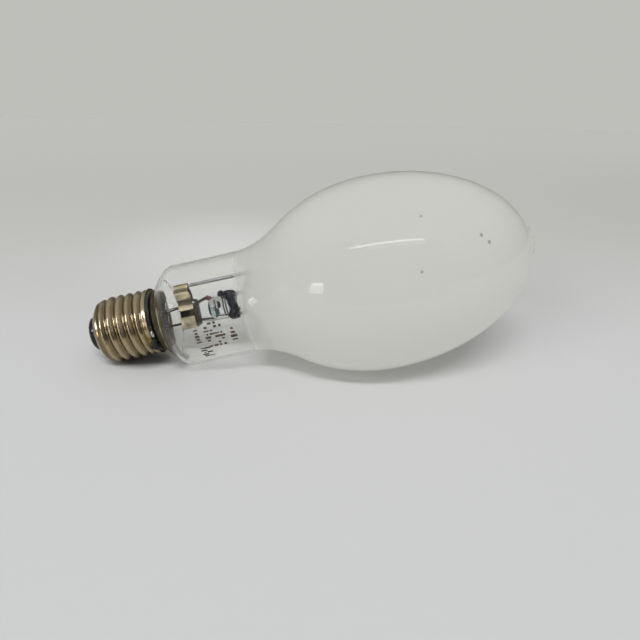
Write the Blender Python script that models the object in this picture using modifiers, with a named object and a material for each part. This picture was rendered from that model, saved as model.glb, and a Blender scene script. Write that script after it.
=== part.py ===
# A blended light lamp (self-ballasted mercury lamp) with a screw cap, lying as it comes to rest.
# Every piece is modelled along the lamp's own axis: Z runs from the tip of the cap to the crown of
# the glass, X points up and Y points to the viewer. An empty then lays the lamp on the floor.
# All lengths are in metres.

import math

import bmesh
import bpy
from mathutils import Matrix, Vector

# Clearance kept between pieces that touch on the real lamp
FIT_GAP = 0.0003

# Outer bulb
LAMP_LENGTH = 0.177
BELLY_RADIUS = 0.0377
BELLY_FULLNESS = 0.52
NECK_RADIUS = 0.0201
NECK_TOP_AT = 0.063
SHOULDER_START_AT = 0.026
SHOULDER_END_AT = 0.038
SEAL_RADIUS = 0.0108
SEAL_AT = 0.0195
GLASS_WALL = 0.0009
CROWN_BOSS_RADIUS = 0.0062
CROWN_BOSS_HEIGHT = 0.001
CROWN_BOSS_EDGE_SHARE = 0.88
CROWN_BOSS_TOP_SHARE = 0.45

# Places above the neck, as shares of the way from the top of the neck to the crown
WAIST_TOP_SHARE = 0.1579
BELLY_SHARE = 0.4737
BELLY_FOOT_SHARE = 0.4561
OUTER_BELLY_STEP_SHARE = 0.0526
INNER_BELLY_STEP_SHARE = 0.0702
ARC_BODY_START_SHARE = 0.1842
ARC_BODY_SHARE = 0.386
CROWN_SPRING_SHARE = 0.8772

# Screw cap
SHELL_NOSE_AT = 0.0026
SHELL_NOSE_RADIUS = 0.0066
SHELL_RIM_AT = 0.0269
SHELL_SHEET = 0.0003
THREAD_PITCH = 0.003629
THREAD_CREST_RADIUS = 0.01315
THREAD_DEPTH = 0.00105
THREAD_START_AT = 0.0064
THREAD_END_AT = 0.0229
THREAD_CREST_AT = 0.02247
RIM_FLARE = 0.00015
CONTACT_RADIUS = 0.0048
CONTACT_SHEET = 0.0005
SOLDER_RADIUS = 0.0022
SOLDER_HEIGHT = 0.0005
SOLDER_FACE_SHARE = 0.72
INSULATOR_TOP_AT = 0.008
INSULATOR_HOLE_RADIUS = 0.0016
CEMENT_DEPTH = 0.0021
CEMENT_OVER_RIM = 0.0011
SIDE_SOLDER_TURN = 113.6
SIDE_SOLDER_SIZE = 0.0014

# Glass stem
MOUNT_TURN = -27.1
STEM_TUBE_RADIUS = 0.0060
STEM_WALL = 0.0009
STEM_TUBE_AT = 0.028
PRESS_START_AT = 0.0335
PRESS_FLAT_AT = 0.0362
PRESS_END_AT = 0.0448
PRESS_HALF_WIDTH = 0.0053
PRESS_HALF_DEPTH = 0.0021
PRESS_WEB_HALF_DEPTH = 0.0009
PRESS_GROOVE_RADIUS = 0.0019
EXHAUST_RADIUS = 0.0022
EXHAUST_BORE_RADIUS = 0.0012
EXHAUST_TIP_AT = 0.0105

# Wires
LEAD_RADIUS = 0.00033
LEAD_SPREAD = 0.0034
SIDE_LEAD_RADIUS = 0.0002
LEAD_TAIL = 0.002
FRAME_LEAD_RISE = 0.0105
FILAMENT_LEAD_RISE = 0.0034
FRAME_ROD_RADIUS = 0.00055
FRAME_ROD_OFFSET = 0.011
HOOK_WIRE_RADIUS = 0.0003
ELECTRODE_LEAD_RADIUS = 0.0004
ELECTRODE_LEAD_BEND = 0.0014

# Strap on the stem
STRAP_SHEET = 0.0003
STRAP_AT = 0.0372
STRAP_WIDTH = 0.0057
STRAP_RIDGE_AT = 0.0056
STRAP_RIDGE_HEIGHT = 0.0004
STRAP_GROOVE_HALF_WIDTH = 0.0013
STRAP_GROOVE_DEPTH = 0.0011

# Glass bead and the stars that carry the filament hooks
BEAD_AT = 0.0490
BEAD_LENGTH = 0.0082
BEAD_RADIUS = 0.0059
BEAD_LEAD_OFFSET = 0.0044
BEAD_RING_WIRE_RADIUS = 0.0004
STAR_THICKNESS = 0.0020
STAR_BODY_RADIUS = 0.0032
STAR_ARM_REACH = 0.0066
STAR_ARM_HALF_WIDTH = 0.0012
LOWER_HOOKS = 4
HOOK_SPAN_DEGREES = 270
UPPER_STAR_RISE = 0.011
HOOK_FOOT_RADIUS = 0.0054
HOOK_STRAIGHT = 0.0035

# Filament
FILAMENT_CAGE_RADIUS = 0.014
FILAMENT_COIL_RADIUS = 0.0006
FILAMENT_FOOT_RISE = 0.0085
FILAMENT_HEAD_RISE = 0.010
HOOK_PIN_REACH = 0.0016
HOOK_BEND = 0.0008

# Arc tube
ARC_TUBE_RADIUS = 0.0085
ARC_TUBE_WALL = 0.0012
PINCH_LENGTH = 0.012
PINCH_HALF_WIDTH = 0.0075
PINCH_HALF_DEPTH = 0.0022
ELECTRODE_RADIUS = 0.00045
ELECTRODE_TIP_REACH = 0.0085
ELECTRODE_COIL_RADIUS = 0.0014
ELECTRODE_COIL_LENGTH = 0.003
STARTER_OFFSET = 0.004
STARTER_REACH = 0.003
FOIL_HALF_WIDTH = 0.0012
FOIL_THICKNESS = 0.0001
FOIL_LENGTH = 0.0066
CLIP_SHEET = 0.0003
CLIP_WIDTH = 0.0045
CLIP_INSET = 0.003

# Starting resistor and the spring that steadies the frame in the crown
RESISTOR_RADIUS = 0.0014
RESISTOR_LENGTH = 0.009
RESISTOR_RISE = 0.0025
RESISTOR_LEAD_RISE = 0.005
CROWN_SPRING_SPREAD = 0.0135
CROWN_SPRING_WIDTH = 0.004
CROWN_SPRING_SHEET = 0.0003

# Facets round each kind of piece
BULB_SIDES = 28
CAP_SIDES = 24
GLASS_SIDES = 20
SMALL_SIDES = 12
THREAD_STEPS = 5

# Rows of facets along the shoulder, the waist and the belly of the glass, outside and inside
OUTER_ROWS = (5, 4, 11)
INNER_ROWS = (3, 3, 7)


# Scene, materials and placing

def empty_scene():
    for item in list(bpy.data.objects):
        bpy.data.objects.remove(item, do_unlink=True)


def collection(name):
    made = bpy.data.collections.new(name)
    bpy.context.scene.collection.children.link(made)
    return made


def finish(name, colour, roughness, metallic=0.0, transmission=0.0, alpha=1.0):
    made = bpy.data.materials.new(name)
    made.use_nodes = True
    shader = made.node_tree.nodes["Principled BSDF"]
    shader.inputs["Base Color"].default_value = (*colour, 1.0)
    shader.inputs["Roughness"].default_value = roughness
    shader.inputs["Metallic"].default_value = metallic
    shader.inputs["Transmission Weight"].default_value = transmission
    shader.inputs["Alpha"].default_value = alpha
    made.diffuse_color = (*colour, alpha)
    return made


def keep(name, mesh, material, parent, turn=0.0):
    made = bpy.data.objects.new(name, mesh)
    lamp_pieces.objects.link(made)
    made.parent = parent
    made.rotation_euler.z = turn
    if material is not None:
        mesh.materials.append(material)
    return made


def as_cutter(piece):
    lamp_pieces.objects.unlink(piece)
    cutters.objects.link(piece)
    piece.hide_render = True
    piece.display_type = "WIRE"
    return piece


def cut(piece, cutter, operation="DIFFERENCE"):
    step = piece.modifiers.new(cutter.name, "BOOLEAN")
    step.operation = operation
    step.solver = "EXACT"
    step.object = cutter


# Shapes

def turned(name, outline, sides, material, parent, ring=False, middle=(0.0, 0.0)):
    # The outline runs down the outside as (radius, height) pairs. Its facets lie on the true radius,
    # so a facet, and not a corner, faces down, up and to the sides.
    to_corner = 1 / math.cos(math.pi / sides)
    mesh = bpy.data.meshes.new(name)
    corners = [(radius * to_corner, 0.0, height) for radius, height in outline]
    edges = [(i, i + 1) for i in range(len(corners) - 1)]
    if ring:
        edges.append((len(corners) - 1, 0))
    mesh.from_pydata(corners, edges, [])
    made = keep(name, mesh, material, parent, turn=math.pi / sides)
    made.location = (middle[0], middle[1], 0.0)
    screw = made.modifiers.new("turn", "SCREW")
    screw.steps = sides
    screw.render_steps = sides
    screw.use_merge_vertices = True
    screw.merge_threshold = 0.000001
    screw.use_smooth_shade = False
    return made


def wire(name, route, radius, material, parent, roundness=2, closed=False):
    curve = bpy.data.curves.new(name, "CURVE")
    curve.dimensions = "3D"
    curve.bevel_depth = radius
    curve.bevel_resolution = roundness
    curve.use_fill_caps = True
    line = curve.splines.new("POLY")
    line.points.add(len(route) - 1)
    for point, place in zip(line.points, route):
        point.co = (*place, 1.0)
    line.use_cyclic_u = closed
    made = bpy.data.objects.new(name, curve)
    lamp_pieces.objects.link(made)
    made.parent = parent
    if material is not None:
        curve.materials.append(material)
    return made


def welded_from_curve(piece):
    # A tube that is to be cut, or to cut, becomes a mesh with its end caps welded on.
    bpy.context.view_layer.update()
    evaluated = piece.evaluated_get(bpy.context.evaluated_depsgraph_get())
    mesh = bpy.data.meshes.new_from_object(evaluated)
    shape = bmesh.new()
    shape.from_mesh(mesh)
    bmesh.ops.remove_doubles(shape, verts=shape.verts, dist=0.000001)
    shape.to_mesh(mesh)
    shape.free()
    name = piece.name
    parent = piece.parent
    bpy.data.objects.remove(piece, do_unlink=True)
    made = bpy.data.objects.new(name, mesh)
    lamp_pieces.objects.link(made)
    made.parent = parent
    return made


def lofted(name, sections, sides, material, parent, middle=(0.0, 0.0)):
    # Each section is (height, half width in X, half depth in Y, squareness).
    # A squareness of 2 is an ellipse, and a higher one is a rounded rectangle.
    shape = bmesh.new()
    rings = []
    for height, half_width, half_depth, squareness in sections:
        ring = []
        for i in range(sides):
            angle = math.tau * (i + 0.5) / sides
            across = abs(math.cos(angle)) ** squareness + abs(math.sin(angle)) ** squareness
            reach = across ** (-1 / squareness)
            x = middle[0] + half_width * reach * math.cos(angle)
            y = middle[1] + half_depth * reach * math.sin(angle)
            ring.append(shape.verts.new((x, y, height)))
        rings.append(ring)
    for low, high in zip(rings, rings[1:]):
        for i in range(sides):
            j = (i + 1) % sides
            shape.faces.new((low[i], low[j], high[j], high[i]))
    shape.faces.new(list(reversed(rings[0])))
    shape.faces.new(rings[-1])
    mesh = bpy.data.meshes.new(name)
    shape.to_mesh(mesh)
    shape.free()
    return keep(name, mesh, material, parent)


def strip(name, path, start, width, sheet, material, parent, flat_axis="Z"):
    # A folded strip: the path is drawn across the lamp and swept along its axis by the strip's width.
    # With flat_axis Y the path is drawn in XZ instead, and the width lies along Y.
    shape = bmesh.new()
    low = []
    high = []
    for a, b in path:
        if flat_axis == "Z":
            low.append(shape.verts.new((a, b, start)))
            high.append(shape.verts.new((a, b, start + width)))
        else:
            low.append(shape.verts.new((a, start, b)))
            high.append(shape.verts.new((a, start + width, b)))
    for i in range(len(path) - 1):
        shape.faces.new((low[i], low[i + 1], high[i + 1], high[i]))
    mesh = bpy.data.meshes.new(name)
    shape.to_mesh(mesh)
    shape.free()
    made = keep(name, mesh, material, parent)
    solid = made.modifiers.new("sheet", "SOLIDIFY")
    solid.thickness = sheet
    solid.offset = 0.0
    solid.use_even_offset = True
    return made


def box(name, low, high, material, parent):
    shape = bmesh.new()
    bmesh.ops.create_cube(shape, size=1.0)
    size = [h - l for l, h in zip(low, high)]
    centre = [(h + l) / 2 for l, h in zip(low, high)]
    bmesh.ops.scale(shape, vec=size, verts=shape.verts)
    bmesh.ops.translate(shape, vec=centre, verts=shape.verts)
    mesh = bpy.data.meshes.new(name)
    shape.to_mesh(mesh)
    shape.free()
    return keep(name, mesh, material, parent)


def rod(name, foot, head, radius, sides, material, parent):
    # A straight round bar between two points.
    foot = Vector(foot)
    head = Vector(head)
    axis = head - foot
    shape = bmesh.new()
    bmesh.ops.create_cone(
        shape, cap_ends=True, segments=sides, radius1=radius, radius2=radius, depth=axis.length)
    turn = Vector((0.0, 0.0, 1.0)).rotation_difference(axis).to_matrix().to_4x4()
    bmesh.ops.transform(shape, matrix=Matrix.Translation((foot + head) / 2) @ turn, verts=shape.verts)
    mesh = bpy.data.meshes.new(name)
    shape.to_mesh(mesh)
    shape.free()
    return keep(name, mesh, material, parent)


def blob(name, centre, half_sizes, turn, material, parent):
    # A flattened drop of solder.
    shape = bmesh.new()
    bmesh.ops.create_uvsphere(shape, u_segments=SMALL_SIDES, v_segments=6, radius=1.0)
    bmesh.ops.scale(shape, vec=half_sizes, verts=shape.verts)
    bmesh.ops.transform(shape, matrix=Matrix.Rotation(turn, 4, "Z"), verts=shape.verts)
    bmesh.ops.translate(shape, vec=centre, verts=shape.verts)
    mesh = bpy.data.meshes.new(name)
    shape.to_mesh(mesh)
    shape.free()
    return keep(name, mesh, material, parent)


def round_the_axis(radius, degrees, height):
    angle = math.radians(degrees)
    return (radius * math.cos(angle), radius * math.sin(angle), height)


def smoothed(points, per_span=3):
    # Points of a smooth curve through the given ones, so that a bent wire has no kinks.
    places = [Vector(p) for p in points]
    padded = [places[0] * 2 - places[1]] + places + [places[-1] * 2 - places[-2]]
    route = [places[0]]
    for before, start, end, after in zip(padded, padded[1:], padded[2:], padded[3:]):
        for step in range(1, per_span + 1):
            t = step / per_span
            pull = (end - before) * 0.5
            push = (after - start) * 0.5
            route.append(
                start * (2 * t**3 - 3 * t**2 + 1) + pull * (t**3 - 2 * t**2 + t)
                + end * (3 * t**2 - 2 * t**3) + push * (t**3 - t**2))
    return [tuple(p) for p in route]


# Outline of the glass

def ease(t):
    t = min(max(t, 0.0), 1.0)
    return t * t * (3 - 2 * t)


def crown_at():
    return LAMP_LENGTH - CROWN_BOSS_HEIGHT


def bulb_span():
    return LAMP_LENGTH - NECK_TOP_AT


def above_neck(share):
    return NECK_TOP_AT + bulb_span() * share


def belly_at():
    return above_neck(BELLY_SHARE)


def waist_top_at():
    return above_neck(WAIST_TOP_SHARE)


def belly_radius(height):
    above = height > belly_at()
    reach = crown_at() - belly_at() if above else bulb_span() * BELLY_FOOT_SHARE
    share = min(abs(height - belly_at()) / reach, 1.0)
    return BELLY_RADIUS * (1 - share * share) ** BELLY_FULLNESS


def bulb_radius(height):
    if height >= waist_top_at():
        return belly_radius(height)
    if height >= NECK_TOP_AT:
        span = waist_top_at() - NECK_TOP_AT
        t = (height - NECK_TOP_AT) / span
        step = 0.00001
        slope = (belly_radius(waist_top_at() + step) - belly_radius(waist_top_at())) / step * span
        return (NECK_RADIUS * (2 * t**3 - 3 * t**2 + 1)
                + belly_radius(waist_top_at()) * (3 * t**2 - 2 * t**3)
                + slope * (t**3 - t**2))
    rise = ease((height - SHOULDER_START_AT) / (SHOULDER_END_AT - SHOULDER_START_AT))
    return SEAL_RADIUS + (NECK_RADIUS - SEAL_RADIUS) * rise


def inner_radius(height):
    step = 0.0002
    slope = (bulb_radius(height + step) - bulb_radius(height - step)) / (2 * step)
    return bulb_radius(height) - GLASS_WALL * math.sqrt(1 + slope * slope)


def between(low, high, count):
    return [low + (high - low) * i / count for i in range(count + 1)]


def belly_heights(low, count, last_share):
    # Heights spaced evenly round the belly's curve, up to a share of the way to the crown.
    foot = math.asin((low - belly_at()) / (crown_at() - belly_at()))
    top = math.asin(last_share)
    return [belly_at() + (crown_at() - belly_at()) * math.sin(a) for a in between(foot, top, count)]


def boss_share():
    # How far up from the belly to the crown the boss begins.
    return math.sqrt(1 - (CROWN_BOSS_RADIUS / BELLY_RADIUS) ** (1 / BELLY_FULLNESS))


def outer_heights():
    shoulder, waist, belly = OUTER_ROWS
    heights = [SEAL_AT] + between(SHOULDER_START_AT, SHOULDER_END_AT, shoulder)
    heights += between(NECK_TOP_AT, waist_top_at(), waist)
    first = above_neck(WAIST_TOP_SHARE + OUTER_BELLY_STEP_SHARE)
    return heights + belly_heights(first, belly, boss_share())


def inner_heights():
    shoulder, waist, belly = INNER_ROWS
    heights = [SEAL_AT] + between(SHOULDER_START_AT, SHOULDER_END_AT, shoulder)
    heights += between(NECK_TOP_AT, waist_top_at(), waist)
    first = above_neck(WAIST_TOP_SHARE + INNER_BELLY_STEP_SHARE)
    return heights + belly_heights(first, belly, boss_share() * 0.98)


def faceted_radius(heights, radius_at, height):
    # The radius of a turned shape between the heights at which its outline has points.
    for low, high in zip(heights, heights[1:]):
        if height <= high:
            share = (height - low) / (high - low)
            return radius_at(low) * (1 - share) + radius_at(high) * share
    return radius_at(heights[-1])


def crown_height(radius):
    # The height at which the inside of the glass has narrowed to this radius.
    low = belly_at()
    high = inner_heights()[-1]
    for _ in range(30):
        middle = (low + high) / 2
        if faceted_radius(inner_heights(), inner_radius, middle) > radius:
            low = middle
        else:
            high = middle
    return low


def boss_outline():
    foot = outer_heights()[-1]
    return [
        (CROWN_BOSS_RADIUS * CROWN_BOSS_EDGE_SHARE, foot + CROWN_BOSS_HEIGHT),
        (CROWN_BOSS_RADIUS * CROWN_BOSS_TOP_SHARE, LAMP_LENGTH - CROWN_BOSS_HEIGHT * 0.1),
        (0.0, LAMP_LENGTH)]


def outer_bulb():
    outside = [(bulb_radius(h), h) for h in outer_heights()] + boss_outline()
    inside = [(inner_radius(h), h) for h in inner_heights()]
    inside += [
        (CROWN_BOSS_RADIUS * 0.7, crown_at() - GLASS_WALL + CROWN_BOSS_HEIGHT * 0.4),
        (0.0, LAMP_LENGTH - GLASS_WALL)]
    outline = list(reversed(outside)) + inside
    return turned("outer_bulb", outline, BULB_SIDES, coated_glass, lamp_axis)


# Screw cap

def crest_share(height, degrees):
    # 1 on the thread's crest and 0 in its root, for a right-hand thread.
    turns = (height - THREAD_CREST_AT) / THREAD_PITCH - degrees / 360
    return 0.5 + 0.5 * math.cos(math.tau * turns)


def shell_radius(height, degrees):
    root = THREAD_CREST_RADIUS - THREAD_DEPTH
    if height < THREAD_START_AT:
        share = (height - SHELL_NOSE_AT) / (THREAD_START_AT - SHELL_NOSE_AT)
        bulge = SHELL_SHEET * math.sin(math.pi * share)
        return SHELL_NOSE_RADIUS + (root - SHELL_NOSE_RADIUS) * share + bulge
    wave = crest_share(height, degrees) * ease((height - THREAD_START_AT) / THREAD_PITCH)
    skirt = ease((height - THREAD_END_AT) / (THREAD_PITCH * 0.4))
    share = wave * (1 - skirt) + skirt
    return root + THREAD_DEPTH * share


def screw_shell():
    threads = THREAD_END_AT - THREAD_START_AT
    rows = between(SHELL_NOSE_AT, THREAD_START_AT, 3)
    rows += between(THREAD_START_AT, THREAD_END_AT, round(threads / THREAD_PITCH * THREAD_STEPS))[1:]
    rows += [THREAD_END_AT + THREAD_PITCH * 0.2, THREAD_END_AT + THREAD_PITCH * 0.4]
    rows += [SHELL_RIM_AT - RIM_FLARE * 3, SHELL_RIM_AT]
    shape = bmesh.new()
    grid = bmesh.ops.create_grid(
        shape, x_segments=CAP_SIDES, y_segments=len(rows) - 1, size=0.5)
    to_corner = 1 / math.cos(math.pi / CAP_SIDES)
    for corner in grid["verts"]:
        side = round((corner.co.x + 0.5) * CAP_SIDES)
        row = round((corner.co.y + 0.5) * (len(rows) - 1))
        degrees = 360 * (side + 0.5) / CAP_SIDES
        radius = shell_radius(rows[row], degrees)
        if row == len(rows) - 1:
            radius += RIM_FLARE
        corner.co = round_the_axis(radius * to_corner, degrees, rows[row])
    bmesh.ops.remove_doubles(shape, verts=shape.verts, dist=0.000001)
    bmesh.ops.recalc_face_normals(shape, faces=shape.faces)
    mesh = bpy.data.meshes.new("screw_shell")
    shape.to_mesh(mesh)
    shape.free()
    made = keep("screw_shell", mesh, nickel, lamp_axis)
    solid = made.modifiers.new("sheet", "SOLIDIFY")
    solid.thickness = SHELL_SHEET
    solid.offset = -1.0
    return made


def contact_at():
    return SOLDER_HEIGHT + FIT_GAP


def cap_insulator():
    # Black glass that fills the nose of the shell and carries the contact plate.
    face = contact_at() + CONTACT_SHEET + FIT_GAP
    root = THREAD_CREST_RADIUS - THREAD_DEPTH
    seat = SHELL_SHEET + FIT_GAP
    middle_at = (SHELL_NOSE_AT + THREAD_START_AT) / 2
    outline = [
        (INSULATOR_HOLE_RADIUS, INSULATOR_TOP_AT),
        (root - seat * 1.5, INSULATOR_TOP_AT),
        (root - seat * 1.5, THREAD_START_AT + seat),
        (shell_radius(middle_at, 0) - seat * 2, middle_at),
        (SHELL_NOSE_RADIUS - seat * 1.75, SHELL_NOSE_AT),
        (CONTACT_RADIUS + FIT_GAP, face),
        (INSULATOR_HOLE_RADIUS, face)]
    return turned("cap_insulator", outline, GLASS_SIDES, black_glass, lamp_axis, ring=True)


def contact_plate():
    low = contact_at()
    outline = [
        (INSULATOR_HOLE_RADIUS, low + CONTACT_SHEET),
        (CONTACT_RADIUS, low + CONTACT_SHEET),
        (CONTACT_RADIUS, low + CONTACT_SHEET * 0.5),
        (CONTACT_RADIUS - CONTACT_SHEET, low),
        (INSULATOR_HOLE_RADIUS, low)]
    return turned("contact_plate", outline, GLASS_SIDES, nickel, lamp_axis, ring=True)


def centre_solder():
    outline = [
        (0.0, SOLDER_HEIGHT),
        (SOLDER_RADIUS, SOLDER_HEIGHT),
        (SOLDER_RADIUS * 0.93, SOLDER_HEIGHT * 0.4),
        (SOLDER_RADIUS * SOLDER_FACE_SHARE, 0.0),
        (0.0, 0.0)]
    return turned("centre_solder", outline, SMALL_SIDES, solder, lamp_axis)


def skirt_inner_radius():
    return THREAD_CREST_RADIUS - SHELL_SHEET


def side_solder_place():
    height = SHELL_RIM_AT + FIT_GAP * 1.2 + SIDE_SOLDER_SIZE * 0.5
    radius = THREAD_CREST_RADIUS + FIT_GAP * 0.5
    return round_the_axis(radius, SIDE_SOLDER_TURN, height)


def side_solder():
    half = SIDE_SOLDER_SIZE
    return blob("side_solder", side_solder_place(), (half * 0.4, half, half * 0.5),
                math.radians(SIDE_SOLDER_TURN), solder, mount_axis)


def side_lead_route():
    # From inside the press, out under the edge of the neck and up beside it to the solder.
    beside_neck = SEAL_RADIUS + FIT_GAP + SIDE_LEAD_RADIUS
    below_seal = SEAL_AT - FIT_GAP * 4
    turn = SIDE_SOLDER_TURN
    beside_exhaust = EXHAUST_RADIUS + LEAD_RADIUS + FIT_GAP
    solder_radius = THREAD_CREST_RADIUS - SIDE_SOLDER_SIZE * 0.4 - FIT_GAP - SIDE_LEAD_RADIUS
    return [
        (LEAD_SPREAD, 0.0, press_middle() - FIT_GAP),
        (LEAD_SPREAD, 0.0, PRESS_START_AT - LEAD_TAIL),
        (beside_exhaust, 0.0, SEAL_AT + LEAD_TAIL * 2),
        round_the_axis(beside_exhaust * 1.4, turn * 0.5, SEAL_AT + LEAD_TAIL / 2),
        round_the_axis(beside_exhaust * 1.5, turn * 0.8, below_seal + SIDE_LEAD_RADIUS * 2),
        round_the_axis(SEAL_RADIUS * 0.7, turn, below_seal),
        round_the_axis(beside_neck - SIDE_LEAD_RADIUS * 2, turn, below_seal + SIDE_LEAD_RADIUS / 2),
        round_the_axis(beside_neck, turn, below_seal + SIDE_LEAD_RADIUS * 3),
        round_the_axis(beside_neck, turn, SHOULDER_START_AT - LEAD_TAIL / 2),
        round_the_axis(beside_neck + SIDE_LEAD_RADIUS * 3, turn, SHELL_RIM_AT - SIDE_LEAD_RADIUS * 2),
        round_the_axis(solder_radius, turn, SHELL_RIM_AT + SIDE_SOLDER_SIZE * 0.6)]


def capping_cement():
    top = SHELL_RIM_AT + CEMENT_OVER_RIM
    low = SHELL_RIM_AT - CEMENT_DEPTH
    skirt = skirt_inner_radius() - FIT_GAP

    def neck(height):
        return faceted_radius(outer_heights(), bulb_radius, height)

    over = THREAD_CREST_RADIUS - SIDE_SOLDER_SIZE * 0.4 - FIT_GAP * 1.5
    outline = [
        (neck(top) + FIT_GAP, top),
        (over, SHELL_RIM_AT + CEMENT_OVER_RIM * 0.5),
        (skirt, SHELL_RIM_AT - FIT_GAP),
        (skirt, low),
        (neck(low) + FIT_GAP, low),
        (neck(SHOULDER_START_AT) + FIT_GAP, SHOULDER_START_AT)]
    made = turned("capping_cement", outline, CAP_SIDES, cement, lamp_axis, ring=True)
    route = [Vector(place) for place in side_lead_route()[6:]]
    route.append(route[-1] * 1.5 - route[-2] * 0.5)
    slot = welded_from_curve(
        wire("cement_slot", route, SIDE_LEAD_RADIUS + FIT_GAP, None, mount_axis, 1))
    cut(made, as_cutter(slot))
    return made


# Glass stem

def stem_glass():
    # One piece of glass: the flare, its tube, the flat press and the sealed exhaust tube.
    flare_radius = SEAL_RADIUS - GLASS_WALL - FIT_GAP
    tip = EXHAUST_TIP_AT
    sections = [
        (tip, EXHAUST_RADIUS * 0.3, EXHAUST_RADIUS * 0.3, 2),
        (tip + EXHAUST_RADIUS * 0.35, EXHAUST_RADIUS * 0.8, EXHAUST_RADIUS * 0.8, 2),
        (tip + EXHAUST_RADIUS, EXHAUST_RADIUS, EXHAUST_RADIUS, 2),
        (SEAL_AT, EXHAUST_RADIUS, EXHAUST_RADIUS, 2),
        (SEAL_AT + 0.00002, flare_radius, flare_radius, 2)]
    flare_span = STEM_TUBE_AT - SEAL_AT
    for t in (0.2, 0.5, 1.0):
        radius = STEM_TUBE_RADIUS + (flare_radius - STEM_TUBE_RADIUS) * (1 - t) ** 2
        sections.append((SEAL_AT + flare_span * t, radius, radius, 2))
    for t in (0.0, 0.5, 1.0):
        squash = ease(t)
        height = PRESS_START_AT + (PRESS_FLAT_AT - PRESS_START_AT) * t
        width = STEM_TUBE_RADIUS + (PRESS_HALF_WIDTH - STEM_TUBE_RADIUS) * squash
        depth = STEM_TUBE_RADIUS + (PRESS_HALF_DEPTH - STEM_TUBE_RADIUS) * squash
        sections.append((height, width, depth, 2 + 2 * squash))
    edge = PRESS_HALF_DEPTH * 0.25
    sections.append((PRESS_END_AT - edge, PRESS_HALF_WIDTH, PRESS_HALF_DEPTH, 4))
    sections.append((PRESS_END_AT, PRESS_HALF_WIDTH - edge, PRESS_HALF_DEPTH - edge, 4))
    made = lofted("stem_glass", sections, GLASS_SIDES, clear_glass, mount_axis)

    hollow_top = PRESS_START_AT - STEM_WALL
    tube_bore = STEM_TUBE_RADIUS - STEM_WALL
    flare_bore = flare_radius - STEM_WALL
    below = SEAL_AT - STEM_WALL
    hollow = [(EXHAUST_RADIUS, hollow_top), (tube_bore, hollow_top)]
    for t in (1.0, 0.5, 0.2, 0.0):
        radius = tube_bore + (flare_bore - tube_bore) * (1 - t) ** 2
        hollow.append((radius, SEAL_AT + flare_span * t))
    hollow += [(flare_bore, below), (EXHAUST_RADIUS, below)]
    cut(made, as_cutter(turned("stem_hollow", hollow, GLASS_SIDES, None, mount_axis, ring=True)))

    for side in (-1, 1):
        groove_at = (PRESS_WEB_HALF_DEPTH + PRESS_GROOVE_RADIUS) * side
        cut(made, as_cutter(rod(
            "press_groove", (0, groove_at, PRESS_FLAT_AT), (0, groove_at, PRESS_END_AT + STEM_WALL),
            PRESS_GROOVE_RADIUS, SMALL_SIDES, None, mount_axis)))
        cut(made, as_cutter(rod(
            "lead_bore", (LEAD_SPREAD * side, 0, hollow_top - STEM_WALL),
            (LEAD_SPREAD * side, 0, PRESS_END_AT + STEM_WALL),
            LEAD_RADIUS + FIT_GAP, 8, None, mount_axis)))
    cut(made, as_cutter(rod(
        "exhaust_bore", (0, 0, EXHAUST_TIP_AT + EXHAUST_RADIUS), (0, 0, PRESS_START_AT),
        EXHAUST_BORE_RADIUS, 10, None, mount_axis)))
    cut(made, as_cutter(rod(
        "exhaust_hole", (0, 0, PRESS_START_AT), (0, STEM_TUBE_RADIUS * 2, PRESS_START_AT),
        EXHAUST_BORE_RADIUS * 0.95, 10, None, mount_axis)))
    return made


def press_middle():
    return (PRESS_FLAT_AT + PRESS_END_AT) / 2


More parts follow.
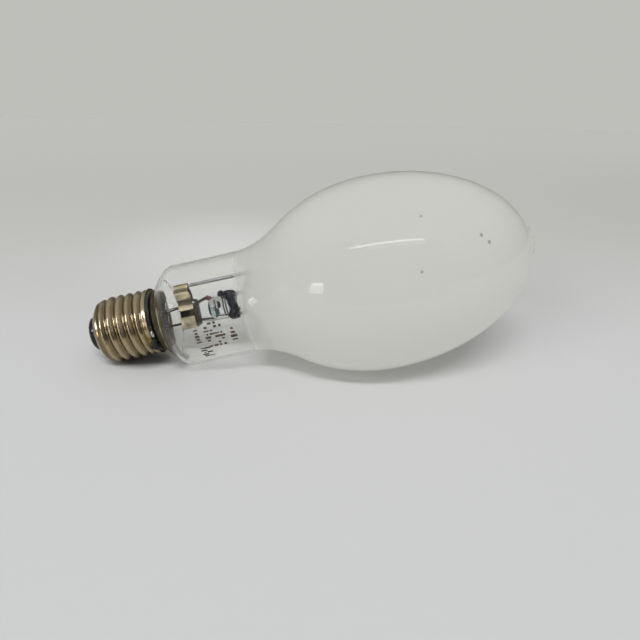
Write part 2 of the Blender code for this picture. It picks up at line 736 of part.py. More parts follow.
def leads():
    # Copper wires below the press and nickel ones above it, meeting inside the glass.
    join = press_middle()
    wire("side_lead", side_lead_route(), SIDE_LEAD_RADIUS, copper, mount_axis, 1)

    beside = EXHAUST_RADIUS + FIT_GAP * 3 + LEAD_RADIUS
    below_tip = EXHAUST_TIP_AT - FIT_GAP * 4 - LEAD_RADIUS
    centre_route = [(-LEAD_SPREAD, 0.0, join - FIT_GAP)] + smoothed([
        (-LEAD_SPREAD, 0.0, PRESS_START_AT - LEAD_TAIL),
        (-beside, 0.0, SEAL_AT),
        (-beside, 0.0, EXHAUST_TIP_AT + EXHAUST_RADIUS),
        (-beside * 0.45, 0.0, below_tip),
        (0.0, 0.0, INSULATOR_TOP_AT - INSULATOR_HOLE_RADIUS / 2)], 2)
    centre_route.append((0.0, 0.0, SOLDER_HEIGHT + FIT_GAP))
    wire("centre_lead", centre_route, LEAD_RADIUS, copper, mount_axis, 1)

    bead_end = star_face()
    rod_side = FRAME_ROD_OFFSET - FRAME_ROD_RADIUS - LEAD_RADIUS - FIT_GAP
    frame_route = [(LEAD_SPREAD, 0.0, join + FIT_GAP)] + smoothed([
        (LEAD_SPREAD, 0.0, PRESS_END_AT),
        (BEAD_LEAD_OFFSET, 0.0, BEAD_AT - LEAD_RADIUS * 2),
        (BEAD_LEAD_OFFSET, 0.0, bead_end),
        (BEAD_LEAD_OFFSET + LEAD_RADIUS * 2, 0.0, bead_end + FRAME_LEAD_RISE * 0.48),
        (rod_side - LEAD_RADIUS * 3, 0.0, bead_end + FRAME_LEAD_RISE * 0.72),
        (rod_side, 0.0, bead_end + FRAME_LEAD_RISE)], 2)
    wire("frame_lead", frame_route, LEAD_RADIUS, nickel, mount_axis, 1)

    foot = hook_foot(lower_angles()[-1])
    reach = LEAD_RADIUS + HOOK_WIRE_RADIUS + FIT_GAP
    filament_route = [(-LEAD_SPREAD, 0.0, join + FIT_GAP)] + smoothed([
        (-LEAD_SPREAD, 0.0, PRESS_END_AT),
        (-BEAD_LEAD_OFFSET, 0.0, BEAD_AT - LEAD_RADIUS * 2),
        (-BEAD_LEAD_OFFSET, 0.0, bead_end),
        (-BEAD_LEAD_OFFSET, -BEAD_LEAD_OFFSET * 0.18, bead_end + FILAMENT_LEAD_RISE * 0.53),
        (-BEAD_LEAD_OFFSET * 0.5, -BEAD_LEAD_OFFSET * 0.8, bead_end + FILAMENT_LEAD_RISE * 0.76),
        (foot[0] * 0.48, foot[1] - reach * 0.8, bead_end + FILAMENT_LEAD_RISE * 0.88),
        (foot[0], foot[1] - reach, bead_end + FILAMENT_LEAD_RISE)], 2)
    wire("filament_lead", filament_route, LEAD_RADIUS, nickel, mount_axis, 1)


def stem_strap():
    # A nickel strip clamped round the press, folded round the frame's rod at its top.
    rod_seat = FRAME_ROD_RADIUS + FIT_GAP + STRAP_SHEET / 2
    face = PRESS_HALF_DEPTH + FIT_GAP + STRAP_SHEET
    centre = FRAME_ROD_OFFSET
    end = PRESS_HALF_WIDTH + FIT_GAP + STRAP_SHEET / 2
    groove = STRAP_GROOVE_HALF_WIDTH
    ridge = STRAP_RIDGE_AT
    path = [(centre + rod_seat * math.cos(a), rod_seat * math.sin(a))
            for a in [math.radians(d) for d in (-72, -36, 0, 36, 72)]]
    path += [
        (centre - rod_seat * 1.7, rod_seat),
        (centre - rod_seat * 2.3, face),
        (ridge + STRAP_SHEET * 1.3, face),
        (ridge, face + STRAP_RIDGE_HEIGHT),
        (ridge - STRAP_SHEET * 1.3, face),
        (groove + STRAP_SHEET, face),
        (groove, face - STRAP_SHEET * 0.5),
        (groove * 0.6, face - STRAP_GROOVE_DEPTH),
        (-groove * 0.6, face - STRAP_GROOVE_DEPTH),
        (-groove, face - STRAP_SHEET * 0.5),
        (-groove - STRAP_SHEET, face),
        (-end + STRAP_SHEET * 3, face),
        (-end, face * 0.6),
        (-end, -face * 0.6),
        (-end + STRAP_SHEET * 3, -face),
        (centre - rod_seat * 2.3, -face),
        (centre - rod_seat * 1.7, -rod_seat),
        (centre - STRAP_SHEET * 1.6, -rod_seat)]
    return strip("stem_strap", path, STRAP_AT, STRAP_WIDTH, STRAP_SHEET, nickel, mount_axis)


# Glass bead and the stars of filament hooks

def star_at():
    return BEAD_AT + BEAD_LENGTH + FIT_GAP


def glass_bead():
    edge = BEAD_RADIUS * 0.14
    top = BEAD_AT + BEAD_LENGTH
    outline = [
        (0.0, top),
        (BEAD_RADIUS - edge, top),
        (BEAD_RADIUS, top - edge),
        (BEAD_RADIUS, BEAD_AT + edge),
        (BEAD_RADIUS - edge, BEAD_AT),
        (0.0, BEAD_AT)]
    made = turned("glass_bead", outline, GLASS_SIDES, clear_glass, mount_axis)
    for side in (-1, 1):
        x = BEAD_LEAD_OFFSET * side
        cut(made, as_cutter(rod("bead_bore", (x, 0, BEAD_AT - edge), (x, 0, top + edge),
                                LEAD_RADIUS + FIT_GAP, 8, None, mount_axis)))
    return made


def bead_ring():
    # The wire ring that grips the foot of the bead.
    radius = BEAD_RADIUS + BEAD_RING_WIRE_RADIUS + FIT_GAP
    height = BEAD_AT + BEAD_RADIUS * 0.2
    count = GLASS_SIDES - 4
    route = [round_the_axis(radius, 360 * i / count, height) for i in range(count)]
    return wire("bead_ring", route, BEAD_RING_WIRE_RADIUS, dark_nickel, mount_axis, 1, closed=True)


def star_face():
    return star_at() + STAR_THICKNESS


def upper_star_at():
    return pinch_head_at() + UPPER_STAR_RISE


def filament_foot_at():
    return star_face() + FILAMENT_FOOT_RISE


def filament_head_at():
    return arc_body_end() + FILAMENT_HEAD_RISE


def lower_angles():
    # In degrees from the frame's rod, leaving its side free.
    first = (360 - HOOK_SPAN_DEGREES) / 2
    return between(first, first + HOOK_SPAN_DEGREES, LOWER_HOOKS - 1)


def upper_angles():
    lower = lower_angles()
    return [(a + b) / 2 for a, b in zip(lower, lower[1:])]


def hook_star(name, low, angles, hub_radius):
    # A black ceramic star with one arm for each hook.
    made = turned(
        name,
        [(0.0, low + STAR_THICKNESS), (STAR_BODY_RADIUS, low + STAR_THICKNESS),
         (STAR_BODY_RADIUS, low), (0.0, low)],
        SMALL_SIDES, black_ceramic, mount_axis)
    for angle in angles:
        arm = box(
            name + "_arm",
            (0, -STAR_ARM_HALF_WIDTH, low),
            (STAR_ARM_REACH, STAR_ARM_HALF_WIDTH, low + STAR_THICKNESS),
            None, mount_axis)
        arm.rotation_euler.z = math.radians(angle)
        cut(made, as_cutter(arm), "UNION")
    if hub_radius:
        cut(made, as_cutter(rod(
            name + "_bore", (0, 0, low - STAR_THICKNESS), (0, 0, low + STAR_THICKNESS * 2),
            hub_radius + FIT_GAP, SMALL_SIDES, None, mount_axis)))
    return made


def hook_foot(degrees):
    return round_the_axis(HOOK_FOOT_RADIUS, degrees, 0.0)


def hook_route(degrees, face, pin_at, towards):
    # From the star's face the hook runs along the lamp, leans out and ends in a short pin.
    start = face + FIT_GAP * towards
    pin_start = FILAMENT_CAGE_RADIUS - HOOK_PIN_REACH
    pin_end = FILAMENT_CAGE_RADIUS + HOOK_PIN_REACH
    return [
        round_the_axis(HOOK_FOOT_RADIUS, degrees, start),
        round_the_axis(HOOK_FOOT_RADIUS, degrees, start + HOOK_STRAIGHT * towards),
        round_the_axis(pin_start - HOOK_BEND * 0.75, degrees, pin_at - HOOK_BEND * towards),
        round_the_axis(pin_start, degrees, pin_at),
        round_the_axis(pin_end, degrees, pin_at),
        round_the_axis(pin_end + HOOK_BEND / 2, degrees, pin_at + HOOK_BEND * towards)]


def filament_hooks():
    face = star_face()
    for number, degrees in enumerate(lower_angles(), 1):
        wire("lower_hook_%d" % number, hook_route(degrees, face, filament_foot_at(), 1),
             HOOK_WIRE_RADIUS, dark_nickel, mount_axis, 1)
    for number, degrees in enumerate(upper_angles(), 1):
        wire("upper_hook_%d" % number, hook_route(degrees, upper_star_at(), filament_head_at(), -1),
             HOOK_WIRE_RADIUS, dark_nickel, mount_axis, 1)


def filament():
    # A long coil of tungsten, strung to and fro between the lower and the upper hooks.
    clear = HOOK_WIRE_RADIUS + FIT_GAP + FILAMENT_COIL_RADIUS
    half_turn = math.degrees(clear / FILAMENT_CAGE_RADIUS)
    stops = []
    for lower, upper in zip(lower_angles(), upper_angles()):
        stops += [(lower, filament_foot_at(), -1), (upper, filament_head_at(), 1)]
    stops.append((lower_angles()[-1], filament_foot_at(), -1))
    route = []
    for degrees, height, outward in stops:
        for side, lift in ((-1, 0.2), (0, 1.0), (1, 0.2)):
            route.append(round_the_axis(
                FILAMENT_CAGE_RADIUS, degrees + half_turn * side, height + clear * lift * outward))
    return wire("filament", route[1:-1], FILAMENT_COIL_RADIUS, tungsten, mount_axis, 1)


# Frame

def frame_rod():
    top = upper_star_at()
    bend = FRAME_ROD_OFFSET * 0.5
    route = [(FRAME_ROD_OFFSET, 0.0, STRAP_AT - FIT_GAP * 2)]
    route += [(FRAME_ROD_OFFSET, 0.0, h) for h in between(BEAD_AT, top - bend * 1.6, 3)]
    route += smoothed([
        (FRAME_ROD_OFFSET, 0.0, top - bend * 1.45),
        (FRAME_ROD_OFFSET * 0.78, 0.0, top - bend * 0.95),
        (FRAME_ROD_OFFSET * 0.22, 0.0, top - bend * 0.45),
        (0.0, 0.0, top - FIT_GAP)], 2)
    route.append((0.0, 0.0, crown_spring_at() - CROWN_SPRING_SHEET / 2 - FIT_GAP))
    return wire("frame_rod", route, FRAME_ROD_RADIUS, steel, mount_axis, 2)


def crown_spring_at():
    return above_neck(CROWN_SPRING_SHARE)


def crown_spring():
    # A bowed leaf that bears on the glass either side of the crown.
    seat = FIT_GAP + CROWN_SPRING_SHEET / 2
    rise = crown_height(CROWN_SPRING_SPREAD + seat) - seat - crown_spring_at()
    path = []
    for share in (-1, -0.75, -0.5, -0.2, 0.2, 0.5, 0.75, 1):
        lift = rise * (max(abs(share) - 0.2, 0) / 0.8) ** 1.5
        path.append((CROWN_SPRING_SPREAD * share, crown_spring_at() + lift))
    return strip("crown_spring", path, -CROWN_SPRING_WIDTH / 2, CROWN_SPRING_WIDTH,
                 CROWN_SPRING_SHEET, steel, mount_axis, flat_axis="Y")


def arc_tube_clip(name, low):
    # A strip folded round a pinch of the arc tube and round the frame's rod.
    seat = FRAME_ROD_RADIUS + FIT_GAP + CLIP_SHEET / 2
    face = PINCH_HALF_DEPTH + FIT_GAP + CLIP_SHEET / 2
    end = PINCH_HALF_WIDTH + FIT_GAP + CLIP_SHEET / 2
    centre = FRAME_ROD_OFFSET
    path = [(centre + seat * math.cos(a), seat * math.sin(a))
            for a in [math.radians(d) for d in (-60, -20, 20, 60)]]
    path += [
        (centre - seat, seat),
        (PINCH_HALF_WIDTH, face),
        (-end + CLIP_SHEET * 2, face),
        (-end, face * 0.7),
        (-end, -face * 0.7),
        (-end + CLIP_SHEET * 2, -face),
        (PINCH_HALF_WIDTH, -face),
        (centre - seat, -seat),
        (centre - CLIP_SHEET, -seat)]
    return strip(name, path, low, CLIP_WIDTH, CLIP_SHEET, steel, mount_axis)


# Arc tube

def arc_body_start():
    return above_neck(ARC_BODY_START_SHARE)


def arc_body_end():
    return arc_body_start() + bulb_span() * ARC_BODY_SHARE


def pinch_foot_at():
    return arc_body_start() - PINCH_LENGTH


def pinch_head_at():
    return arc_body_end() + PINCH_LENGTH


def arc_tube():
    low = arc_body_start()
    high = arc_body_end()
    round_end = ARC_TUBE_RADIUS * 0.6
    sections = [(pinch_foot_at(), PINCH_HALF_WIDTH, PINCH_HALF_DEPTH, 5),
                (low - ARC_TUBE_WALL, PINCH_HALF_WIDTH, PINCH_HALF_DEPTH, 5),
                (low + round_end * 0.45, ARC_TUBE_RADIUS * 0.97, ARC_TUBE_RADIUS * 0.8, 2.2),
                (low + round_end * 1.2, ARC_TUBE_RADIUS, ARC_TUBE_RADIUS, 2)]
    mirrored = [(low + high - h, w, d, s) for h, w, d, s in reversed(sections)]
    made = lofted("arc_tube", sections + mirrored, GLASS_SIDES, quartz, mount_axis)
    bore = ARC_TUBE_RADIUS - ARC_TUBE_WALL
    start = low + ARC_TUBE_WALL * 1.4
    hollow = [(bore * math.sin(math.radians(a)), start + round_end * (1 - math.cos(math.radians(a))))
              for a in (0, 30, 60, 90)]
    upper = [(r, low + high - h) for r, h in hollow]
    cut(made, as_cutter(turned(
        "arc_hollow", upper + list(reversed(hollow)), GLASS_SIDES, None, mount_axis)))
    for name, x, end_low, end_high in electrode_bores():
        cut(made, as_cutter(rod(name, (x, 0, end_low), (x, 0, end_high),
                                ELECTRODE_RADIUS + FIT_GAP, 8, None, mount_axis)))
    for name, x, foil_low in foil_places():
        cut(made, as_cutter(box(
            name + "_slot",
            (x - FOIL_HALF_WIDTH - FIT_GAP, -FOIL_THICKNESS / 2 - FIT_GAP, foil_low - FIT_GAP),
            (x + FOIL_HALF_WIDTH + FIT_GAP, FOIL_THICKNESS / 2 + FIT_GAP,
             foil_low + FOIL_LENGTH + FIT_GAP),
            None, mount_axis)))
    return made


def electrode_bores():
    low = arc_body_start()
    high = arc_body_end()
    inside = ARC_TUBE_RADIUS * 0.5
    return [
        ("lower_main_bore", 0.0, pinch_foot_at() - ARC_TUBE_WALL, low + inside),
        ("starter_bore", STARTER_OFFSET, pinch_foot_at() - ARC_TUBE_WALL, low + inside),
        ("upper_main_bore", 0.0, high - inside, pinch_head_at() + ARC_TUBE_WALL)]


def foil_places():
    inset = (PINCH_LENGTH - FOIL_LENGTH) / 2
    return [
        ("lower_foil", 0.0, pinch_foot_at() + inset),
        ("starter_foil", STARTER_OFFSET, pinch_foot_at() + inset),
        ("upper_foil", 0.0, arc_body_end() + inset)]


def seal_foils():
    for name, x, low in foil_places():
        box(name, (x - FOIL_HALF_WIDTH, -FOIL_THICKNESS / 2, low),
            (x + FOIL_HALF_WIDTH, FOIL_THICKNESS / 2, low + FOIL_LENGTH), steel, mount_axis)


def main_electrode(name, foil_edge, towards):
    # A tungsten shank with its winding, in one turned outline.
    tip = foil_edge + ((PINCH_LENGTH - FOIL_LENGTH) / 2 + ELECTRODE_TIP_REACH) * towards
    coil_end = tip - ELECTRODE_COIL_RADIUS * 0.6 * towards
    coil_start = coil_end - ELECTRODE_COIL_LENGTH * towards
    start = foil_edge + FIT_GAP * towards
    outline = [
        (0.0, tip), (ELECTRODE_RADIUS, tip), (ELECTRODE_RADIUS, coil_end),
        (ELECTRODE_COIL_RADIUS, coil_end - ELECTRODE_RADIUS * 0.6 * towards),
        (ELECTRODE_COIL_RADIUS, coil_start), (ELECTRODE_RADIUS, coil_start),
        (ELECTRODE_RADIUS, start), (0.0, start)]
    if towards < 0:
        outline.reverse()
    return turned(name, outline, 8, tungsten, mount_axis)


def electrodes():
    lower_edge = foil_places()[0][2] + FOIL_LENGTH
    upper_edge = foil_places()[2][2]
    main_electrode("lower_electrode", lower_edge, 1)
    main_electrode("upper_electrode", upper_edge, -1)
    inset = (PINCH_LENGTH - FOIL_LENGTH) / 2
    rod("starting_electrode", (STARTER_OFFSET, 0, lower_edge + FIT_GAP),
        (STARTER_OFFSET, 0, lower_edge + inset + STARTER_REACH),
        ELECTRODE_RADIUS * 0.8, 8, tungsten, mount_axis)


def electrode_leads():
    pinch_low = pinch_foot_at()
    pinch_high = pinch_head_at()
    foil_low = foil_places()[0][2]
    foil_high = foil_places()[2][2] + FOIL_LENGTH
    radius = ELECTRODE_LEAD_RADIUS
    bend = ELECTRODE_LEAD_BEND
    reach = radius + HOOK_WIRE_RADIUS + FIT_GAP
    hook = round_the_axis(HOOK_FOOT_RADIUS - reach, lower_angles()[0], 0.0)
    hook_low = star_face()
    span = pinch_low - hook_low
    wire("lower_electrode_lead", [(0.0, 0.0, foil_low - FIT_GAP)] + smoothed([
        (0.0, 0.0, pinch_low - radius),
        (hook[0] * 0.3, hook[1] * 0.5, pinch_low - span * 0.28),
        (hook[0], hook[1], hook_low + span * 0.36),
        (hook[0], hook[1], hook_low + span * 0.08)], 2), radius, nickel, mount_axis, 1)
    rod_side = FRAME_ROD_OFFSET - FRAME_ROD_RADIUS - radius - FIT_GAP
    wire("upper_electrode_lead", [(0.0, 0.0, foil_high + FIT_GAP)] + smoothed([
        (0.0, 0.0, pinch_high + radius),
        (bend, 0.0, pinch_high + bend),
        (rod_side * 0.85, 0.0, pinch_high + bend),
        (rod_side, 0.0, pinch_high)], 2), radius, nickel, mount_axis, 1)
    # The starter's wire passes behind the frame's rod to the resistor on its far side.
    resistor_x = resistor_offset()
    behind = -(FRAME_ROD_RADIUS + LEAD_RADIUS + FIT_GAP * 2)
    wire("starter_lead", [(STARTER_OFFSET, 0.0, foil_low - FIT_GAP)] + smoothed([
        (STARTER_OFFSET, 0.0, pinch_low - LEAD_RADIUS),
        (STARTER_OFFSET + bend * 0.7, behind * 1.2, pinch_low - bend),
        (FRAME_ROD_OFFSET, behind * 1.2, pinch_low - bend * 0.85),
        (resistor_x - LEAD_RADIUS, behind * 0.6, pinch_low - LEAD_RADIUS / 2),
        (resistor_x, 0.0, resistor_at() - FIT_GAP)], 2), LEAD_RADIUS, nickel, mount_axis, 1)


# Starting resistor

def resistor_at():
    return pinch_foot_at() + RESISTOR_RISE


def resistor_offset():
    return FRAME_ROD_OFFSET + FRAME_ROD_RADIUS + CLIP_SHEET + FIT_GAP * 2 + RESISTOR_RADIUS


def starting_resistor():
    x = resistor_offset()
    top = resistor_at() + RESISTOR_LENGTH
    edge = RESISTOR_RADIUS * 0.3
    outline = [
        (0.0, top), (RESISTOR_RADIUS - edge, top), (RESISTOR_RADIUS, top - edge),
        (RESISTOR_RADIUS, resistor_at() + edge), (RESISTOR_RADIUS - edge, resistor_at()),
        (0.0, resistor_at())]
    turned("starting_resistor", outline, SMALL_SIDES, black_ceramic, mount_axis, middle=(x, 0.0))
    rod_side = FRAME_ROD_OFFSET + FRAME_ROD_RADIUS + LEAD_RADIUS + FIT_GAP
    wire("resistor_lead", smoothed([
        (x, 0.0, top + FIT_GAP),
        (x, 0.0, top + RESISTOR_LEAD_RISE * 0.24),
        (rod_side + FIT_GAP, 0.0, top + RESISTOR_LEAD_RISE * 0.6),
        (rod_side, 0.0, top + RESISTOR_LEAD_RISE)], 2), LEAD_RADIUS, nickel, mount_axis, 1)


# Resting on the floor

def lowest(points, tilt):
    return min(points, key=lambda p: p[0] * math.sin(tilt) - p[1] * math.cos(tilt))


def resting_pose():
    # The tilt at which the belly and whatever is lowest on the neck or the cap both touch the floor.
    step = 0.00005
    crest = SHELL_RIM_AT - SHELL_NOSE_AT
    slim = [(h, shell_radius(h, 180)) for h in between(SHELL_NOSE_AT, SHELL_RIM_AT, round(crest / step))]
    neck = waist_top_at() - SHELL_RIM_AT
    slim += [(h, bulb_radius(h)) for h in between(SHELL_RIM_AT, waist_top_at(), round(neck / step))]
    body = crown_at() - waist_top_at()
    full = [(h, bulb_radius(h)) for h in between(waist_top_at(), crown_at(), round(body / step))]
    tilt = 0.0
    for _ in range(20):
        foot_at, foot = lowest(slim, tilt)
        belly_at, belly = lowest(full, tilt)
        tilt = math.atan2(belly - foot, belly_at - foot_at)
    lift = belly * math.cos(tilt) - belly_at * math.sin(tilt)
    left = -SOLDER_RADIUS * SOLDER_FACE_SHARE * math.sin(tilt)
    crown = full + [(h, r) for r, h in boss_outline()]
    right = max(h * math.cos(tilt) + r * math.sin(tilt) for h, r in crown)
    return tilt, lift, (left + right) / 2


def lay_down(piece):
    tilt, lift, middle = resting_pose()
    spin = Matrix.Rotation(math.pi, 4, "Z")
    lean = Matrix.Rotation(math.pi / 2 - tilt, 4, "Y")
    piece.matrix_world = Matrix.Translation((-middle, 0.0, lift)) @ lean @ spin


empty_scene()
lamp_pieces = collection("blended_light_lamp")
cutters = collection("cutters")

coated_glass = finish("coated_glass", (0.86, 0.87, 0.84), 0.35)
clear_glass = finish("clear_glass", (0.9, 0.92, 0.9), 0.03, transmission=1.0, alpha=0.4)
quartz = finish("quartz", (0.92, 0.93, 0.94), 0.03, transmission=1.0, alpha=0.4)
black_glass = finish("black_glass", (0.01, 0.01, 0.012), 0.12)
black_ceramic = finish("black_ceramic", (0.02, 0.02, 0.025), 0.4)
nickel = finish("nickel", (0.62, 0.56, 0.45), 0.28, metallic=1.0)
dark_nickel = finish("dark_nickel", (0.16, 0.15, 0.15), 0.45, metallic=1.0)
steel = finish("steel", (0.45, 0.44, 0.42), 0.4, metallic=1.0)
copper = finish("copper", (0.6, 0.32, 0.2), 0.4, metallic=1.0)
tungsten = finish("tungsten", (0.3, 0.3, 0.31), 0.5, metallic=1.0)
solder = finish("solder", (0.6, 0.6, 0.6), 0.3, metallic=1.0)
cement = finish("cement", (0.05, 0.045, 0.035), 0.7)

lamp_axis = bpy.data.objects.new("lamp_axis", None)
lamp_pieces.objects.link(lamp_axis)
lay_down(lamp_axis)
mount_axis = bpy.data.objects.new("mount_axis", None)
lamp_pieces.objects.link(mount_axis)
mount_axis.parent = lamp_axis
mount_axis.rotation_euler.z = math.radians(MOUNT_TURN)

outer_bulb()
screw_shell()
cap_insulator()
contact_plate()
centre_solder()
side_solder()
capping_cement()
stem_glass()
leads()
stem_strap()
glass_bead()
bead_ring()
hook_star("lower_star", star_at(), lower_angles(), 0.0)
hook_star("upper_star", upper_star_at(), upper_angles(), FRAME_ROD_RADIUS)
filament_hooks()
filament()
frame_rod()
crown_spring()
arc_tube()
seal_foils()
electrodes()
electrode_leads()
arc_tube_clip("lower_clip", pinch_foot_at() + CLIP_INSET)
arc_tube_clip("upper_clip", pinch_head_at() - CLIP_INSET - CLIP_WIDTH)
starting_resistor()
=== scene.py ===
# Dressed model of a blended light lamp lying on a pale table, seen a little from above.
# Lengths are in metres. The lamp's own axis runs from the tip of its cap to the crown of the glass.

import math

import bmesh
import bpy
from mathutils import Matrix, Vector


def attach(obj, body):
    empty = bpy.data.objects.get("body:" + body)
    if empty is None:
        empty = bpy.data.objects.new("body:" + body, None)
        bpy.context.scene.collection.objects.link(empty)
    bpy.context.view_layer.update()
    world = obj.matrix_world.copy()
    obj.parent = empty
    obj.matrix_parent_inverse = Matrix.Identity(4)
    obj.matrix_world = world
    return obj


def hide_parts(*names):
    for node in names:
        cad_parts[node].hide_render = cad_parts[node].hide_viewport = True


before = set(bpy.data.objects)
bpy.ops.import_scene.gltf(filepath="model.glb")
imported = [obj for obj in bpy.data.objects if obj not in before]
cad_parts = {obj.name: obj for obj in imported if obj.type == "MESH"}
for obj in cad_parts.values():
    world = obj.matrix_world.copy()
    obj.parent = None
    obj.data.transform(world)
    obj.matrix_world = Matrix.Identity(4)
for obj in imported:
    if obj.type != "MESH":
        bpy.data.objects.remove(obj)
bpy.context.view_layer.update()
print("frame loaded:", len(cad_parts), "nodes")

# How the lamp lies: the tip of the cap, the lean of its axis and the turn of the mount in the neck
lampPose = {"tip": (-0.085997, 0.0, 0.010526), "lean": math.radians(13.923), "mountTurn": math.radians(-27.1)}

lampSpace = (
    Matrix.Translation(lampPose["tip"])
    @ Matrix.Rotation(math.pi / 2 - lampPose["lean"], 4, "Y")
    @ Matrix.Rotation(math.pi, 4, "Z"))
mountSpace = lampSpace @ Matrix.Rotation(lampPose["mountTurn"], 4, "Z")
ownSpace = Matrix.Identity(4)


# Node helpers

# The node tree that the helpers add to
atWork = {"tree": None}


def addNode(kind, sockets=None, **settings):
    made = atWork["tree"].nodes.new(kind)
    for key, value in settings.items():
        setattr(made, key, value)
    for key, value in (sockets or {}).items():
        target = made.inputs[key]
        if isinstance(value, bpy.types.NodeSocket):
            atWork["tree"].links.new(value, target)
        else:
            target.default_value = value
    return made


def calc(operation, *values):
    return addNode("ShaderNodeMath", dict(enumerate(values)), operation=operation).outputs[0]


def product(first, *others):
    for value in others:
        first = calc("MULTIPLY", first, value)
    return first


def vectorCalc(operation, *values):
    made = addNode("ShaderNodeVectorMath", dict(enumerate(values)), operation=operation)
    return made.outputs["Value" if operation in ("DISTANCE", "DOT_PRODUCT", "LENGTH") else "Vector"]


def splitPlace(place):
    return addNode("ShaderNodeSeparateXYZ", {0: place}).outputs


def easeRange(value, low, high, start=0.0, end=1.0, curve="SMOOTHSTEP"):
    sockets = {"Value": value, "From Min": low, "From Max": high, "To Min": start, "To Max": end}
    return addNode("ShaderNodeMapRange", sockets, interpolation_type=curve).outputs[0]


def spotShare(place, middle, size, core, strength=1.0):
    # A round spot that fades out from a core, given as a share of its size.
    away = vectorCalc("DISTANCE", place, middle)
    return easeRange(away, size * core, size, strength, 0.0)


def noiseAt(place, scale, detail, roughness=0.55):
    sockets = {"Vector": place, "Scale": scale, "Detail": detail, "Roughness": roughness}
    return addNode("ShaderNodeTexNoise", sockets).outputs[0]


def fineBump(place, scale, detail, height, strength):
    # Waves, grain or lumps of a surface.
    sockets = {"Height": noiseAt(place, scale, detail), "Strength": strength, "Distance": height}
    return addNode("ShaderNodeBump", sockets).outputs[0]


def edgeShare(power):
    # Rises where the surface turns away from the viewer.
    facing = addNode("ShaderNodeLayerWeight", {"Blend": 0.5}).outputs["Facing"]
    return calc("POWER", facing, power)


def mixColour(share, first, second):
    # The mix node's colours go in at sockets 6 and 7 and come out at 2.
    return addNode("ShaderNodeMix", {0: share, 6: first, 7: second}, data_type="RGBA").outputs[2]


def mixShader(share, first, second):
    return addNode("ShaderNodeMixShader", {0: share, 1: first, 2: second}).outputs[0]


def surfaceOf(colour, roughness, others=None):
    sockets = {"Base Color": colour, "Roughness": roughness, **(others or {})}
    return addNode("ShaderNodeBsdfPrincipled", sockets).outputs[0]


def makeMaterial(name, build, look):
    # The build function makes the surface out of the place on the piece and the look.
    made = bpy.data.materials.new(name)
    made.use_nodes = True
    atWork["tree"] = made.node_tree
    made.node_tree.nodes.clear()
    place = addNode("ShaderNodeTexCoord").outputs["Object"]
    addNode("ShaderNodeOutputMaterial", {"Surface": build(place, **look)})
    return made


def rgb(red, green, blue):
    return (red, green, blue, 1.0)


def lampHeight(place):
    # How far up the lamp a place is, measured along its axis from the tip of the cap.
    axis = (math.cos(lampPose["lean"]), 0.0, math.sin(lampPose["lean"]))
    return vectorCalc("DOT_PRODUCT", vectorCalc("SUBTRACT", place, lampPose["tip"]), axis)


# Materials

# What shows on the shoulder, by height up the lamp: black, for the cement and painted shade of the cap's dark
# inside seen through the glass; then a brown film of soot and painted reflection, with a pale painted
# highlight streak
shoulderFilmLook = {
    "blackFades": (0.0287, 0.0292), "brownFades": (0.0343, 0.0352), "cover": 0.8, "topFades": (0.0295, 0.0335),
    "backStarts": (-0.004, 0.0), "clouds": (260.0, 4.0, 0.6), "black": rgb(0.006, 0.006, 0.005),
    "brown": rgb(0.085, 0.068, 0.042), "streak": rgb(0.55, 0.52, 0.44), "streakAt": 0.0322,
    "streakFades": (0.00012, 0.0004), "streakCover": 0.85, "streakBreaks": (150.0, 2.0),
    "olive": rgb(0.115, 0.088, 0.012), "stainAt": (-0.0565, -0.0110, 0.0118), "stainSize": 0.0042,
    "brownPatches": (0.3, 0.6, 0.6, 1.0), "streakPatches": (0.35, 0.6), "stainPatches": (0.38, 0.52),
    "stainCore": 0.5}


def sootAndPaintedLightFilm(place):
    # Colour and cover of the film of soot and painted shade, reflection and highlight. The brown is kept to
    # the near, lower side of the shoulder, and the black turns brown at the back.
    look, height, spot = shoulderFilmLook, lampHeight(place), splitPlace(place)
    clouds = noiseAt(place, *look["clouds"])
    back = easeRange(spot["Y"], *look["backStarts"])
    # Black where the cement shows, with painted shade for the cap's dark inside.
    black = easeRange(height, *look["blackFades"], 1.0, 0.0)
    brownCover = product(
        easeRange(height, *look["brownFades"], look["cover"], 0.0),
        easeRange(clouds, *look["brownPatches"]), easeRange(spot["Z"], *look["topFades"], 1.0, 0.0),
        calc("SUBTRACT", 1.0, back))
    # A pale painted highlight streak round the shoulder, broken in places.
    away = calc("ABSOLUTE", calc("SUBTRACT", height, look["streakAt"]))
    streak = product(
        easeRange(away, *look["streakFades"], look["streakCover"], 0.0),
        easeRange(noiseAt(place, *look["streakBreaks"]), *look["streakPatches"]))
    stain = product(
        spotShare(place, look["stainAt"], look["stainSize"], look["stainCore"]),
        easeRange(clouds, *look["stainPatches"]))
    colour = mixColour(calc("SUBTRACT", black, back), look["brown"], look["black"])
    colour = mixColour(stain, colour, look["olive"])
    colour = mixColour(streak, colour, look["streak"])
    cover = calc("MAXIMUM", calc("MAXIMUM", black, brownCover), calc("MAXIMUM", streak, stain))
    return colour, cover


glassLook = {
    "clear": rgb(0.995, 0.995, 0.985), "tint": rgb(0.995, 0.995, 0.99), "rim": rgb(0.74, 0.74, 0.72),
    "rimPower": 4.0, "bend": 1.42, "waves": (90.0, 1.0, 0.0006), "filmRoughness": 0.12}


